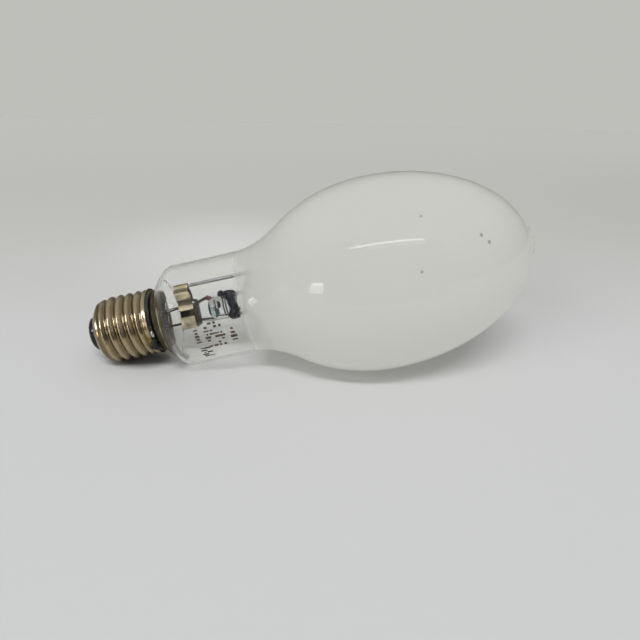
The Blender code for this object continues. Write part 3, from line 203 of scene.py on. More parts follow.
def glassSurface(place, colour, waviness=0.1, withShoulderFilm=False):
    # Clear glass that bends what is seen through it and lets the lamps' light straight through.
    look = glassLook
    waves = fineBump(place, *look["waves"], waviness)
    glass = surfaceOf(colour, 0.0, {"IOR": look["bend"], "Transmission Weight": 1.0, "Normal": waves})
    path = addNode("ShaderNodeLightPath").outputs
    passing = calc("MAXIMUM", path["Is Shadow Ray"], path["Is Diffuse Ray"])
    tint = mixColour(edgeShare(look["rimPower"]), look["tint"], look["rim"])
    straight = addNode("ShaderNodeBsdfTransparent", {"Color": tint}).outputs[0]
    clear = mixShader(passing, glass, straight)
    if not withShoulderFilm:
        return clear
    # The shoulder's film: soot with painted shade, reflection and highlight.
    film, cover = sootAndPaintedLightFilm(place)
    return mixShader(cover, clear, surfaceOf(film, look["filmRoughness"]))


# The map on turned pieces: its name, and how far a metre of height is stretched on it
turnedSheet = {"name": "alongAndAround", "stretch": 10.0}
# White powder inside the glass, by height up the lamp: it starts thin, then thickens
coatLook = {
    "starts": (0.0628, 0.0652), "thickens": (0.0652, 0.0735), "wander": 0.0016, "drift": (45.0, 2.0),
    "firstCover": 0.62, "haze": 0.008, "throughShare": 0.8, "roughness": 0.6,
    "colour": rgb(0.938, 0.935, 0.917), "speck": rgb(0.05, 0.045, 0.04),
    "grain": rgb(0.7, 0.7, 0.66), "grainShare": 0.05, "grains": (2600.0, 2.0),
    "grainPatches": (0.3, 0.7), "speckCore": 0.6}
# Dark specks in the powder: place, size and strength
coatSpecks = (
    ((0.03658, -0.03466, 0.05365), 0.0013, 0.75), ((0.05799, -0.02463, 0.06349), 0.00135, 0.75),
    ((0.06100, -0.02502, 0.06116), 0.00135, 0.75), ((0.03674, -0.02314, 0.06951), 0.0013, 0.45))


def coatSurface(place, **look):
    along = addNode("ShaderNodeUVMap", uv_map=turnedSheet["name"]).outputs[0]
    height = calc("DIVIDE", splitPlace(along)["Y"], turnedSheet["stretch"])
    drift = calc("SUBTRACT", noiseAt(place, *look["drift"]), 0.5)
    height = calc("MULTIPLY_ADD", drift, look["wander"], height)
    first = easeRange(height, *look["starts"], 0.0, look["firstCover"])
    rest = easeRange(height, *look["thickens"], 0.0, 1 - look["firstCover"])
    cover = calc("MAXIMUM", calc("ADD", first, rest), look["haze"])
    grain = easeRange(noiseAt(place, *look["grains"]), *look["grainPatches"], 0.0, look["grainShare"])
    colour = mixColour(grain, look["colour"], look["grain"])
    for middle, size, strength in coatSpecks:
        share = spotShare(place, middle, size, look["speckCore"], strength)
        colour = mixColour(share, colour, look["speck"])
    powder = addNode("ShaderNodeBsdfDiffuse", {"Color": colour, "Roughness": look["roughness"]})
    lit = addNode("ShaderNodeBsdfTranslucent", {"Color": colour})
    white = mixShader(look["throughShare"], powder.outputs[0], lit.outputs[0])
    return mixShader(cover, glassSurface(place, glassLook["clear"]), white)


metalLook = {
    "clouds": (130.0, 4.0), "darkPatches": (0.35, 0.75), "roughPatches": (0.3, 0.8), "roughSpread": 0.16,
    "grainDetail": 2.0, "grainDepth": 0.00005}


def metalSurface(place, bright, dark, roughness, grainScale=600.0, tarnish=0.5, grain=0.12, lower=None):
    # Bare metal with darker clouds. Its lower side may take another colour up to a level; on the strap this
    # is painted light, a much lighter colour below the level.
    clouds = noiseAt(place, *metalLook["clouds"])
    if lower:
        level = easeRange(splitPlace(place)["Z"], *lower["level"])
        bright = mixColour(level, lower["bright"], bright)
    colour = mixColour(easeRange(clouds, *metalLook["darkPatches"], 0.0, tarnish), bright, dark)
    rough = easeRange(clouds, *metalLook["roughPatches"], roughness, roughness + metalLook["roughSpread"])
    fine = fineBump(place, grainScale, metalLook["grainDetail"], metalLook["grainDepth"], grain)
    return surfaceOf(colour, rough, {"Metallic": 1.0, "Normal": fine})


# Nickel-plated shell: brighter on the crests, darker and browner in the roots of the thread and in its groove
capLook = {
    "crest": rgb(0.46, 0.37, 0.235), "root": rgb(0.235, 0.178, 0.095), "crestFrom": 0.55, "cloudShare": 0.9,
    "clouds": (170.0, 5.0, 0.6), "roughness": (0.17, 0.33), "grain": (1500.0, 2.0, 0.00006, 0.1),
    "stain": rgb(0.13, 0.10, 0.045), "stains": (420.0, 3.0, 0.7), "stainCover": 0.55,
    "olive": rgb(0.16, 0.12, 0.015), "oliveAt": (-0.0612, -0.0130, 0.0152), "oliveSize": 0.0062,
    "oliveCover": 0.9, "oliveStarts": (0.0238, 0.0246), "oliveCore": 0.6, "crestSpan": 0.75,
    "stainPatches": (0.62, 0.74), "olivePatches": (0.4, 0.55), "roughPatches": (0.35, 0.8)}


def capSurface(place, **look):
    crest = addNode("ShaderNodeAttribute", attribute_name="crest").outputs["Fac"]
    clouds = noiseAt(place, *look["clouds"])
    # Darker towards the roots and in the groove, lighter on the crests, broken up by clouds.
    crestShare = calc("SUBTRACT", crest, look["crestFrom"])
    crestShare = calc("MULTIPLY_ADD", clouds, look["cloudShare"], crestShare)
    colour = mixColour(easeRange(crestShare, 0.0, look["crestSpan"]), look["root"], look["crest"])
    stains = easeRange(noiseAt(place, *look["stains"]), *look["stainPatches"], 0.0, look["stainCover"])
    colour = mixColour(stains, colour, look["stain"])
    olive = product(
        easeRange(lampHeight(place), *look["oliveStarts"]),
        easeRange(clouds, *look["olivePatches"]),
        spotShare(place, look["oliveAt"], look["oliveSize"], look["oliveCore"], look["oliveCover"]))
    colour = mixColour(olive, colour, look["olive"])
    rough = easeRange(clouds, *look["roughPatches"], *look["roughness"])
    fine = fineBump(place, *look["grain"])
    return surfaceOf(colour, rough, {"Metallic": 1.0, "Normal": fine})


opaqueLook = {"coatRoughness": 0.05, "detail": 4.0, "lumpHeight": 0.0003}


def opaqueSurface(place, main, patch, roughness, scale, lumps, patches=(0.4, 0.65), coat=0.0, gloss=0.5):
    clouds = easeRange(noiseAt(place, scale, opaqueLook["detail"]), *patches)
    return surfaceOf(mixColour(clouds, main, patch), roughness, {
        "Specular IOR Level": gloss, "Coat Weight": coat, "Coat Roughness": opaqueLook["coatRoughness"],
        "Normal": fineBump(place, scale, opaqueLook["detail"], opaqueLook["lumpHeight"], lumps)})


# Thin clear glass, by height up the lamp: dark brown at the flare, and dark brown painted shade in the press
# where the strap's dark inside would show through
stemLook = {
    "clear": rgb(0.985, 0.985, 0.97), "rim": rgb(0.96, 0.96, 0.94), "rimPower": 3.0,
    "darkBrown": rgb(0.055, 0.045, 0.03), "clouds": (260.0, 3.0), "cloudPatches": (0.25, 0.6, 0.6, 1.0),
    "darkBrownRoughness": 0.1, "darkBrownCover": 0.9,
    "flareFades": (0.0245, 0.0285), "flareDark": 0.75, "pressStarts": (0.0405, 0.0415), "pressShade": 0.85,
    "waves": (200.0, 1.0, 0.0005, 0.3), "bend": 1.4, "shineRoughness": 0.03,
    "shineStarts": (0.0385, 0.040), "shine": (0.03, 0.6)}


def stemSurface(place, **look):
    height = lampHeight(place)
    flare = easeRange(height, *look["flareFades"], look["flareDark"], 0.0)
    # Painted shade in the press.
    press = easeRange(height, *look["pressStarts"], 0.0, look["pressShade"])
    clouds = easeRange(noiseAt(place, *look["clouds"]), *look["cloudPatches"])
    darkBrown = product(calc("MAXIMUM", flare, press), clouds)
    tint = mixColour(edgeShare(look["rimPower"]), look["clear"], look["rim"])
    tint = mixColour(darkBrown, tint, look["darkBrown"])
    through = addNode("ShaderNodeBsdfTransparent", {"Color": tint}).outputs[0]
    waves = fineBump(place, *look["waves"])
    brown = surfaceOf(look["darkBrown"], look["darkBrownRoughness"], {"Normal": waves})
    skin = mixShader(product(darkBrown, look["darkBrownCover"]), through, brown)
    shine = addNode("ShaderNodeBsdfAnisotropic", {
        "Color": rgb(1.0, 1.0, 1.0), "Roughness": look["shineRoughness"]}).outputs[0]
    share = product(
        addNode("ShaderNodeFresnel", {"IOR": look["bend"]}).outputs[0],
        easeRange(height, *look["shineStarts"], *look["shine"]))
    return mixShader(share, skin, shine)


glassLooks = {
    "clearLampGlass": {"colour": glassLook["clear"], "withShoulderFilm": True},
    "mountGlass": {"colour": rgb(0.96, 0.97, 0.97)},
    "tealGlass": {"colour": rgb(0.62, 0.80, 0.80)},
    "quartzGlass": {"colour": rgb(0.97, 0.975, 0.98), "waviness": 0.05}}
metalLooks = {
    # The strap's lower side is painted lighter: painted light.
    "strapNickel": {"bright": rgb(0.205, 0.172, 0.115), "dark": rgb(0.10, 0.072, 0.025), "roughness": 0.27,
                    "tarnish": 1.0, "lower": {"bright": rgb(0.72, 0.63, 0.43), "level": (0.021, 0.024)}},
    "darkShellInside": {"bright": rgb(0.13, 0.11, 0.08), "dark": rgb(0.05, 0.04, 0.03), "roughness": 0.45},
    "rodSteel": {"bright": rgb(0.21, 0.20, 0.185), "dark": rgb(0.13, 0.125, 0.115), "roughness": 0.6},
    "leadNickel": {"bright": rgb(0.34, 0.33, 0.31), "dark": rgb(0.18, 0.17, 0.16), "roughness": 0.3},
    "sootedLead": {"bright": rgb(0.06, 0.055, 0.05), "dark": rgb(0.03, 0.026, 0.022), "roughness": 0.4},
    "oxidisedNickel": {"bright": rgb(0.10, 0.10, 0.105), "dark": rgb(0.04, 0.04, 0.045), "roughness": 0.35},
    "copperLead": {"bright": rgb(0.11, 0.07, 0.05), "dark": rgb(0.05, 0.035, 0.03), "roughness": 0.45},
    "tungstenWire": {"bright": rgb(0.32, 0.32, 0.33), "dark": rgb(0.2, 0.2, 0.21), "roughness": 0.45},
    "springSteel": {"bright": rgb(0.5, 0.49, 0.46), "dark": rgb(0.32, 0.31, 0.29), "roughness": 0.3},
    "softSolder": {"bright": rgb(0.62, 0.62, 0.6), "dark": rgb(0.34, 0.33, 0.31), "roughness": 0.22,
                   "grainScale": 900.0, "tarnish": 0.6, "grain": 0.3}}
opaqueLooks = {
    "strapFoldShade": {"main": rgb(0.004, 0.0035, 0.002), "patch": rgb(0.012, 0.010, 0.005), "roughness": 0.9,
                       "scale": 300.0, "lumps": 0.1, "gloss": 0.05},
    "blackCapGlass": {"main": rgb(0.006, 0.005, 0.004), "patch": rgb(0.02, 0.016, 0.013), "roughness": 0.08,
                      "scale": 240.0, "lumps": 0.15, "gloss": 0.4},
    "blackCeramic": {"main": rgb(0.003, 0.003, 0.005), "patch": rgb(0.012, 0.013, 0.02), "roughness": 0.3,
                     "scale": 500.0, "lumps": 0.2, "gloss": 0.3},
    "tarBlack": {"main": rgb(0.007, 0.0065, 0.005), "patch": rgb(0.022, 0.019, 0.012), "roughness": 0.35,
                 "scale": 500.0, "lumps": 0.5, "gloss": 0.3},
    "redWeld": {"main": rgb(0.16, 0.018, 0.03), "patch": rgb(0.05, 0.008, 0.012), "roughness": 0.2,
                "scale": 900.0, "lumps": 0.3},
    "cappingCement": {"main": rgb(0.012, 0.012, 0.010), "patch": rgb(0.085, 0.07, 0.02), "roughness": 0.42,
                      "scale": 190.0, "lumps": 0.8, "patches": (0.52, 0.66), "coat": 0.3},
    "brownStampInk": {"main": rgb(0.085, 0.05, 0.018), "patch": rgb(0.03, 0.025, 0.02), "roughness": 0.6,
                      "scale": 700.0, "lumps": 0.0}}

finish = {}
for build, looks in (
        (stemSurface, {"darkenedStemGlass": stemLook}), (coatSurface, {"whiteInnerCoating": coatLook}),
        (capSurface, {"agedCapNickel": capLook}), (glassSurface, glassLooks),
        (metalSurface, metalLooks), (opaqueSurface, opaqueLooks)):
    for name, look in looks.items():
        finish[name] = makeMaterial(name, build, look)
print("materials made:", len(finish))


# Shape helpers

def between(low, high, count):
    return [low + (high - low) * i / count for i in range(count + 1)]


def easeIn(share):
    share = min(max(share, 0.0), 1.0)
    return share * share * (3 - 2 * share)


def turnsOf(sides):
    return [math.tau * i / sides for i in range(sides)]


def fromMillimetres(points):
    return [tuple(part / 1000 for part in point) for point in points]


def addObject(name, data):
    made = bpy.data.objects.new(name, data)
    bpy.context.scene.collection.objects.link(made)
    return made


def placeMesh(name, shape, space, materials, smooth=True):
    mesh = bpy.data.meshes.new(name)
    for face in shape.faces:
        face.smooth = smooth
    shape.to_mesh(mesh)
    shape.free()
    mesh.transform(space)
    for material in materials:
        mesh.materials.append(finish[material])
    return addObject(name, mesh)


def joinRings(shape, rings):
    # Skins a row of rings and caps both its ends.
    for low, high in zip(rings, rings[1:]):
        for i in range(len(low)):
            j = (i + 1) % len(low)
            shape.faces.new((low[i], low[j], high[j], high[i]))
    shape.faces.new(rings[0])
    shape.faces.new(list(reversed(rings[-1])))
    bmesh.ops.recalc_face_normals(shape, faces=shape.faces)


def turnedPiece(name, outline, sides, space, materials, inner=None, ring=False):
    # The outline is (radius, height) pairs. Rows from inner on take the second material.
    shape = bmesh.new()
    sheet = shape.loops.layers.uv.new(turnedSheet["name"])
    rows = []
    for radius, height in outline:
        if radius < 1e-7:
            rows.append([shape.verts.new((0.0, 0.0, height))] * sides)
        else:
            rows.append([shape.verts.new((radius * math.cos(a), radius * math.sin(a), height))
                         for a in turnsOf(sides)])
    if ring:
        rows.append(rows[0])
    for r, (low, high) in enumerate(zip(rows, rows[1:])):
        for i in range(sides):
            j = (i + 1) % sides
            corners = []
            for corner, spot in ((low[i], i), (low[j], i + 1), (high[j], i + 1), (high[i], i)):
                if corner not in [c for c, _ in corners]:
                    corners.append((corner, spot))
            face = shape.faces.new([c for c, _ in corners])
            face.material_index = int(inner is not None and r >= inner)
            for loop, (corner, spot) in zip(face.loops, corners):
                loop[sheet].uv = (spot / sides, corner.co.z * turnedSheet["stretch"])
    bmesh.ops.recalc_face_normals(shape, faces=shape.faces)
    return placeMesh(name, shape, space, materials)


def keepPiece(piece, slot, *nodes):
    # Every piece rides on the one body; it may stand for nodes of the frame.
    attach(piece, "root")
    if nodes:
        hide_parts(*nodes)


def easeEdges(piece, width, angle):
    eased = piece.modifiers.new("eased edges", "BEVEL")
    eased.width = width
    eased.segments = 2
    eased.limit_method = "ANGLE"
    eased.angle_limit = math.radians(angle)


# How close two corners lie that are joined, and the angle in degrees below which two faces become one
weldDistance = 0.000002
flatAngle = 1.0


def smoothCopy(node, material, angle, bevel=0.0, flatten=True):
    # A joined and smoothed copy of a frame node, with its edges eased.
    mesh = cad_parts[node].data.copy()
    shape = bmesh.new()
    shape.from_mesh(mesh)
    bmesh.ops.remove_doubles(shape, verts=shape.verts, dist=weldDistance)
    if flatten:
        bmesh.ops.dissolve_limit(
            shape, angle_limit=math.radians(flatAngle), verts=shape.verts, edges=shape.edges)
    for face in shape.faces:
        face.smooth = True
    for edge in shape.edges:
        if len(edge.link_faces) == 2:
            edge.smooth = edge.calc_face_angle(0.0) < math.radians(angle)
    shape.to_mesh(mesh)
    shape.free()
    mesh.materials.clear()
    mesh.materials.append(finish[material])
    made = addObject(node + "_smooth", mesh)
    if bevel:
        easeEdges(made, bevel, angle)
    return made


# Outer bulb

bulbShape = {
    "length": 0.177, "bellyAt": 0.117, "bellyRadius": 0.03758, "bellyFoot": 0.052, "fullness": 0.52,
    "neckRadius": 0.0201, "neckTop": 0.063, "waistTop": 0.081, "shoulderStart": 0.026,
    "shoulderEnd": 0.038, "sealRadius": 0.0108, "sealAt": 0.0195, "wall": 0.0009,
    "bossRadius": 0.0062, "bossHeight": 0.001, "insideEnd": 0.8, "sides": 144}
# The small raised knob on the crown, as radius and height in millimetres
crownBoss = (
    (6.08, 175.4), (5.9, 175.7), (5.6, 175.97), (5.2, 176.19), (4.7, 176.37), (4.1, 176.52),
    (3.4, 176.67), (2.6, 176.81), (1.7, 176.92), (0.9, 176.98), (0.0, 177.0))
# The stretches of the outline below the belly, with the rows of faces on each
bulbStretches = (
    ("sealAt", "shoulderStart", 4), ("shoulderStart", "shoulderEnd", 22),
    ("shoulderEnd", "neckTop", 10), ("neckTop", "waistTop", 20))
bellyRows = 46


def bellyReach():
    return bulbShape["length"] - bulbShape["bossHeight"] - bulbShape["bellyAt"]


def bellyRadiusAt(height):
    reach = bellyReach() if height > bulbShape["bellyAt"] else bulbShape["bellyFoot"]
    share = min(abs(height - bulbShape["bellyAt"]) / reach, 1.0)
    return bulbShape["bellyRadius"] * (1 - share * share) ** bulbShape["fullness"]


def bulbRadiusAt(height):
    # The belly's curve, the waist that runs from it into the neck, then the shoulder.
    neck, top, foot = (bulbShape[k] for k in ("neckTop", "waistTop", "shoulderStart"))
    if height >= top:
        return bellyRadiusAt(height)
    if height >= neck:
        t, step = (height - neck) / (top - neck), 0.00001
        slope = (bellyRadiusAt(top + step) - bellyRadiusAt(top)) / step * (top - neck)
        return (bulbShape["neckRadius"] * (2 * t**3 - 3 * t**2 + 1)
                + bellyRadiusAt(top) * (3 * t**2 - 2 * t**3) + slope * (t**3 - t**2))
    rise = easeIn((height - foot) / (bulbShape["shoulderEnd"] - foot))
    return bulbShape["sealRadius"] + (bulbShape["neckRadius"] - bulbShape["sealRadius"]) * rise


def bulbHeights():
    heights = [bulbShape["sealAt"]]
    for low, high, count in bulbStretches:
        heights += between(bulbShape[low], bulbShape[high], count)[1:]
    bossShare = bulbShape["bossRadius"] / bulbShape["bellyRadius"]
    last = math.sqrt(1 - bossShare ** (1 / bulbShape["fullness"]))
    foot = (bulbShape["waistTop"] - bulbShape["bellyAt"]) / bellyReach()
    return heights + [bulbShape["bellyAt"] + bellyReach() * math.sin(a)
                      for a in between(math.asin(foot), math.asin(last), bellyRows)[1:]]


def makeBulb():
    heights, step = bulbHeights(), 0.0002
    outside = [(bulbRadiusAt(h), h) for h in heights] + fromMillimetres(crownBoss)
    inside = []
    for height in heights:
        slope = (bulbRadiusAt(height + step) - bulbRadiusAt(height - step)) / (2 * step)
        radius = bulbRadiusAt(height) - bulbShape["wall"] * math.sqrt(1 + slope * slope)
        if radius > bulbShape["bossRadius"] * bulbShape["insideEnd"]:
            inside.append((radius, height))
    inside.append((0.0, bulbShape["length"] - bulbShape["wall"]))
    return turnedPiece(
        "outerBulb", list(reversed(outside)) + inside, bulbShape["sides"], lampSpace,
        ["clearLampGlass", "whiteInnerCoating"], len(outside))


keepPiece(makeBulb(), "coated_glass", "outer_bulb")
print("bulb made")


# Screw shell, from Geometry Nodes

shellShape = {
    "Nose Height": 0.0033, "Nose Radius": 0.0072, "Rim Height": 0.0269, "Pitch": 0.003629,
    "Crest Radius": 0.01306, "Depth": 0.00105, "Thread Start": 0.0064, "Thread End": 0.0229,
    "Crest Height": 0.02247, "Lip": 0.00015, "Groove Height": 0.02445, "Groove Half": 0.0011,
    "Groove Depth": 0.00055, "Groove Darkening": 0.8, "Run Out Turns": 0.4, "Sheet": 0.0003, "Sides": 144,
    "Rows": 150}


def startTree(name, sizes):
    tree = atWork["tree"] = bpy.data.node_groups.new(name, "GeometryNodeTree")
    tree.interface.new_socket("Geometry", in_out="INPUT", socket_type="NodeSocketGeometry")
    for label, value in sizes.items():
        kind = "NodeSocketInt" if isinstance(value, int) else "NodeSocketFloat"
        tree.interface.new_socket(label, in_out="INPUT", socket_type=kind).default_value = value
    tree.interface.new_socket("Geometry", in_out="OUTPUT", socket_type="NodeSocketGeometry")
    return tree, addNode("NodeGroupInput").outputs


def finishTree(geometry, material):
    real = addNode("GeometryNodeRealizeInstances", {"Geometry": geometry}).outputs[0]
    done = addNode("GeometryNodeSetMaterial", {"Geometry": real, "Material": material}).outputs[0]
    addNode("NodeGroupOutput", {0: done})


def wrapRound(geometry, radius, angle, height):
    # Moves every corner to its place round the lamp's axis.
    placed = addNode("ShaderNodeCombineXYZ", {
        0: calc("MULTIPLY", radius, calc("COSINE", angle)),
        1: calc("MULTIPLY", radius, calc("SINE", angle)), 2: height}).outputs[0]
    return addNode("GeometryNodeSetPosition", {"Geometry": geometry, "Position": placed}).outputs[0]


def pieceFromTree(name, tree, sizes):
    # Runs the tree once with its inputs set, and keeps the result as a plain mesh that faces outwards.
    worker = addObject(name + "Worker", bpy.data.meshes.new(name + "Seed"))
    step = worker.modifiers.new("shape", "NODES")
    step.node_group = tree
    sockets = {item.name: item.identifier for item in tree.interface.items_tree if item.in_out == "INPUT"}
    for label, value in sizes.items():
        step[sockets[label]] = value
    bpy.context.view_layer.update()
    mesh = bpy.data.meshes.new_from_object(worker.evaluated_get(bpy.context.evaluated_depsgraph_get()))
    mesh.name = name
    bpy.data.objects.remove(worker)
    shape = bmesh.new()
    shape.from_mesh(mesh)
    bmesh.ops.recalc_face_normals(shape, faces=shape.faces)
    shape.to_mesh(mesh)
    shape.free()
    return addObject(name, mesh)


def shellTree():
    # A flat grid rolled into a tube, whose radius follows the nose, the thread, the groove and the lip.
    tree, size = startTree("rolledThread", shellShape)
    grid = addNode("GeometryNodeMeshGrid", {
        "Size X": 1.0, "Size Y": 1.0, "Vertices X": calc("ADD", size["Sides"], 1.0),
        "Vertices Y": calc("ADD", size["Rows"], 1.0)}).outputs["Mesh"]
    spot = splitPlace(addNode("GeometryNodeInputPosition").outputs[0])
    turn = calc("ADD", spot["X"], 0.5)
    height = easeRange(spot["Y"], -0.5, 0.5, size["Nose Height"], size["Rim Height"], "LINEAR")
    root = calc("SUBTRACT", size["Crest Radius"], size["Depth"])

    turns = calc("DIVIDE", calc("SUBTRACT", height, size["Crest Height"]), size["Pitch"])
    turns = calc("SUBTRACT", turns, turn)
    wave = calc("MULTIPLY_ADD", calc("COSINE", calc("MULTIPLY", turns, math.tau)), 0.5, 0.5)
    inEnd = calc("ADD", size["Thread Start"], size["Pitch"])
    wave = calc("MULTIPLY", wave, easeRange(height, size["Thread Start"], inEnd))
    outEnd = calc("MULTIPLY_ADD", size["Pitch"], size["Run Out Turns"], size["Thread End"])
    runOut = easeRange(height, size["Thread End"], outEnd)
    crest = calc("MULTIPLY_ADD", wave, calc("SUBTRACT", 1.0, runOut), runOut)
    crest = calc("MAXIMUM", runOut, crest)
    thread = calc("MULTIPLY_ADD", crest, size["Depth"], root)

    noseShare = easeRange(height, size["Nose Height"], size["Thread Start"], curve="LINEAR")
    bulge = calc("MULTIPLY", calc("SINE", calc("MULTIPLY", noseShare, math.pi)), size["Sheet"])
    widening = calc("SUBTRACT", root, size["Nose Radius"])
    cone = calc("ADD", bulge, calc("MULTIPLY_ADD", noseShare, widening, size["Nose Radius"]))
    pastNose = calc("GREATER_THAN", noseShare, 0.9999)
    radius = calc("MINIMUM", thread, calc("ADD", cone, pastNose))

    offGroove = calc("ABSOLUTE", calc("SUBTRACT", height, size["Groove Height"]))
    groove = easeRange(offGroove, 0.0, size["Groove Half"], 1.0, 0.0)
    radius = calc("SUBTRACT", radius, calc("MULTIPLY", groove, size["Groove Depth"]))
    # The groove takes the roots' darker colour.
    crest = calc("SUBTRACT", crest, calc("MULTIPLY", groove, size["Groove Darkening"]))
    lipStart = calc("MULTIPLY_ADD", size["Lip"], -4.0, size["Rim Height"])
    lip = easeRange(height, lipStart, size["Rim Height"])
    radius = calc("MULTIPLY_ADD", lip, size["Lip"], radius)

    marked = addNode("GeometryNodeStoreNamedAttribute", {
        "Geometry": grid, "Name": "crest", "Value": crest}, data_type="FLOAT", domain="POINT").outputs[0]
    rolled = wrapRound(marked, radius, calc("MULTIPLY", turn, math.tau), height)
    joined = addNode("GeometryNodeMergeByDistance", {
        "Geometry": rolled, "Distance": weldDistance * 2}).outputs[0]
    soft = addNode("GeometryNodeSetShadeSmooth", {"Geometry": joined}).outputs[0]
    finishTree(soft, finish["agedCapNickel"])
    return tree


def makeShell():
    made = pieceFromTree("screwShell", shellTree(), shellShape)
    upThread = (shellShape["Thread Start"] + shellShape["Thread End"]) / 2
    middle = min(made.data.polygons, key=lambda face: abs(face.center.z - upThread))
    if middle.normal.dot(Vector((middle.center.x, middle.center.y, 0.0))) < 0:
        made.data.flip_normals()
    made.data.transform(lampSpace)
    wall = made.modifiers.new("sheet", "SOLIDIFY")
    wall.thickness = shellShape["Sheet"]
    wall.offset = -1.0
    wall.material_offset = 1
    made.data.materials.append(finish["darkShellInside"])
    return made


keepPiece(makeShell(), "cap_metal", "screw_shell")
print("screw shell made")


# Cap details

cementShape = {
    "top": 0.028, "low": 0.0248, "skirt": 0.01255, "bendAt": 0.0262, "edgeAt": 0.0266,
    "over": 0.01229, "roundAt": 0.0268, "roundness": 0.8, "gap": 0.0003, "sides": 96}


def makeCement():
    g = cementShape
    neck = bulbRadiusAt(g["top"]) + g["gap"]
    outer = [(g["skirt"], g[k]) for k in ("low", "bendAt", "edgeAt")]
    outer += [(neck + (g["over"] - neck) * math.cos(a) ** g["roundness"],
               g["roundAt"] + (g["top"] - g["roundAt"]) * math.sin(a)) for a in between(0.0, math.pi / 2, 5)]
    inner = [(bulbRadiusAt(h) + g["gap"], h) for h in between(g["top"], g["low"], 6)[1:]]
    return turnedPiece(
        "cappingCement", outer + inner, g["sides"], lampSpace, ["cappingCement"], ring=True)


keepPiece(makeCement(), "cement", "capping_cement")
# Cap pieces kept as smoothed copies: finish, slot, angle of their sharp edges and width that eases them
capCopies = {
    "contact_plate": ("agedCapNickel", "cap_metal", 40.0, 0.00012),
    "centre_solder": ("softSolder", "solder", 60.0, 0.0001),
    "side_solder": ("softSolder", "solder", 60.0, 0.0)}
for node, (material, slot, angle, width) in capCopies.items():
    keepPiece(smoothCopy(node, material, angle, width), slot, node)

# Black glass in the nose of the cap, as radius and height in millimetres
noseOutline = (
    (0.0, 7.5), (6.9, 7.5), (7.0, 4.2), (7.0, 3.3), (6.95, 2.6), (6.75, 2.0), (6.45, 1.6), (6.1, 1.32),
    (5.7, 1.14), (5.3, 1.02), (5.0, 0.95), (4.8, 0.95), (0.0, 0.95))
keepPiece(
    turnedPiece("noseGlass", fromMillimetres(noseOutline), 96, lampSpace, ["blackCapGlass"]),
    "black_glass", "cap_insulator")


# Glass stem: flare, tube and flat press as one skin, and the dark wires in it

stemShape = {
    "flareRadius": 0.0096, "flareLow": 0.0195, "tubeLow": 0.0275, "tubeRadius": 0.0060, "pressLow": 0.0335,
    "pressFlat": 0.0362, "pressTop": 0.0448, "halfWidth": 0.0053, "halfDepth": 0.0021, "sides": 64}
# The rounded end of the press: how far in and how far back each ring lies
pressEnd = ((0.0, 0.0011), (0.00015, 0.0006), (0.0005, 0.00015), (0.0012, 0.0))


def stemRows():
    # Height, half width, half depth and squareness of each ring, from the flare to the end of the press.
    g = stemShape
    rows = []
    for t in between(0.0, 1.0, 8):
        radius = g["tubeRadius"] + (g["flareRadius"] - g["tubeRadius"]) * (1 - t) ** 2
        rows.append((g["flareLow"] + (g["tubeLow"] - g["flareLow"]) * t, radius, radius, 2.0))
    for t in between(0.0, 1.0, 8):
        squash = easeIn(t)
        rows.append((g["pressLow"] + (g["pressFlat"] - g["pressLow"]) * t,
                     g["tubeRadius"] + (g["halfWidth"] - g["tubeRadius"]) * squash,
                     g["tubeRadius"] + (g["halfDepth"] - g["tubeRadius"]) * squash, 2 + 2 * squash))
    return rows + [(g["pressTop"] - back, g["halfWidth"] - inset, g["halfDepth"] - inset, 4.0)
                   for inset, back in pressEnd]


def makeStem():
    shape = bmesh.new()
    rings = []
    for height, width, depth, power in stemRows():
        ring = []
        for a in turnsOf(stemShape["sides"]):
            c, s = math.cos(a), math.sin(a)
            reach = (abs(c) ** power + abs(s) ** power) ** (-1 / power)
            ring.append(shape.verts.new((width * reach * c, depth * reach * s, height)))
        rings.append(ring)
    joinRings(shape, rings)
    return placeMesh("stemGlass", shape, mountSpace, ["darkenedStemGlass"])


# Short dark leads in the press and at the bead, in millimetres: points in the mount's space, and radius
shortLeads = {
    "stemLeadUpper": (((2.1, 0.5, 28.5), (2.3, 0.5, 31.5), (2.9, 0.5, 37.2)), 0.36),
    "stemLeadLower": (((-3.4, 0.5, 28.5), (-3.3, 0.5, 33.0), (-3.2, 0.5, 37.5)), 0.34),
    "beadLeadUpper": (((3.5, 0.6, 43.2), (4.1, 0.7, 45.8), (5.2, 0.8, 49.2)), 0.4),
    "beadLeadLower": (((-3.2, 0.6, 44.0), (-3.4, 0.7, 46.5), (-3.8, 0.8, 50.0)), 0.38),
    "starLead": (((-3.0, 2.0, 51.2), (-3.1, 2.0, 53.5), (-3.4, 1.6, 56.2)), 0.26)}
# The rounded end of a lead, as shares of its radius
leadEnd = {"reach": 0.6, "size": 0.55, "sides": 12}


def bentLead(name, points, radius):
    points = [Vector(p) for p in fromMillimetres(points)]
    radius = radius / 1000
    reach = radius * leadEnd["reach"]
    rows = [(points[0] - (points[1] - points[0]).normalized() * reach, leadEnd["size"])]
    rows += [(p, 1.0) for p in points]
    rows.append((points[-1] + (points[-1] - points[-2]).normalized() * reach, leadEnd["size"]))
    shape = bmesh.new()
    rings = []
    for i, (middle, size) in enumerate(rows):
        ahead = (rows[min(i + 1, len(rows) - 1)][0] - rows[max(i - 1, 0)][0]).normalized()
        side = ahead.cross(Vector((0.0, 1.0, 0.0))).normalized()
        up = side.cross(ahead)
        rings.append([shape.verts.new(middle + (side * math.cos(a) + up * math.sin(a)) * radius * size)
                      for a in turnsOf(leadEnd["sides"])])
    joinRings(shape, rings)
    return placeMesh(name, shape, mountSpace, ["sootedLead"])


# The rod's visible stretch, as one smooth round bar
sleeveShape = {"low": 0.0432, "high": 0.0765, "radius": 0.0007, "edge": 0.00014, "across": 0.011, "sides": 16}


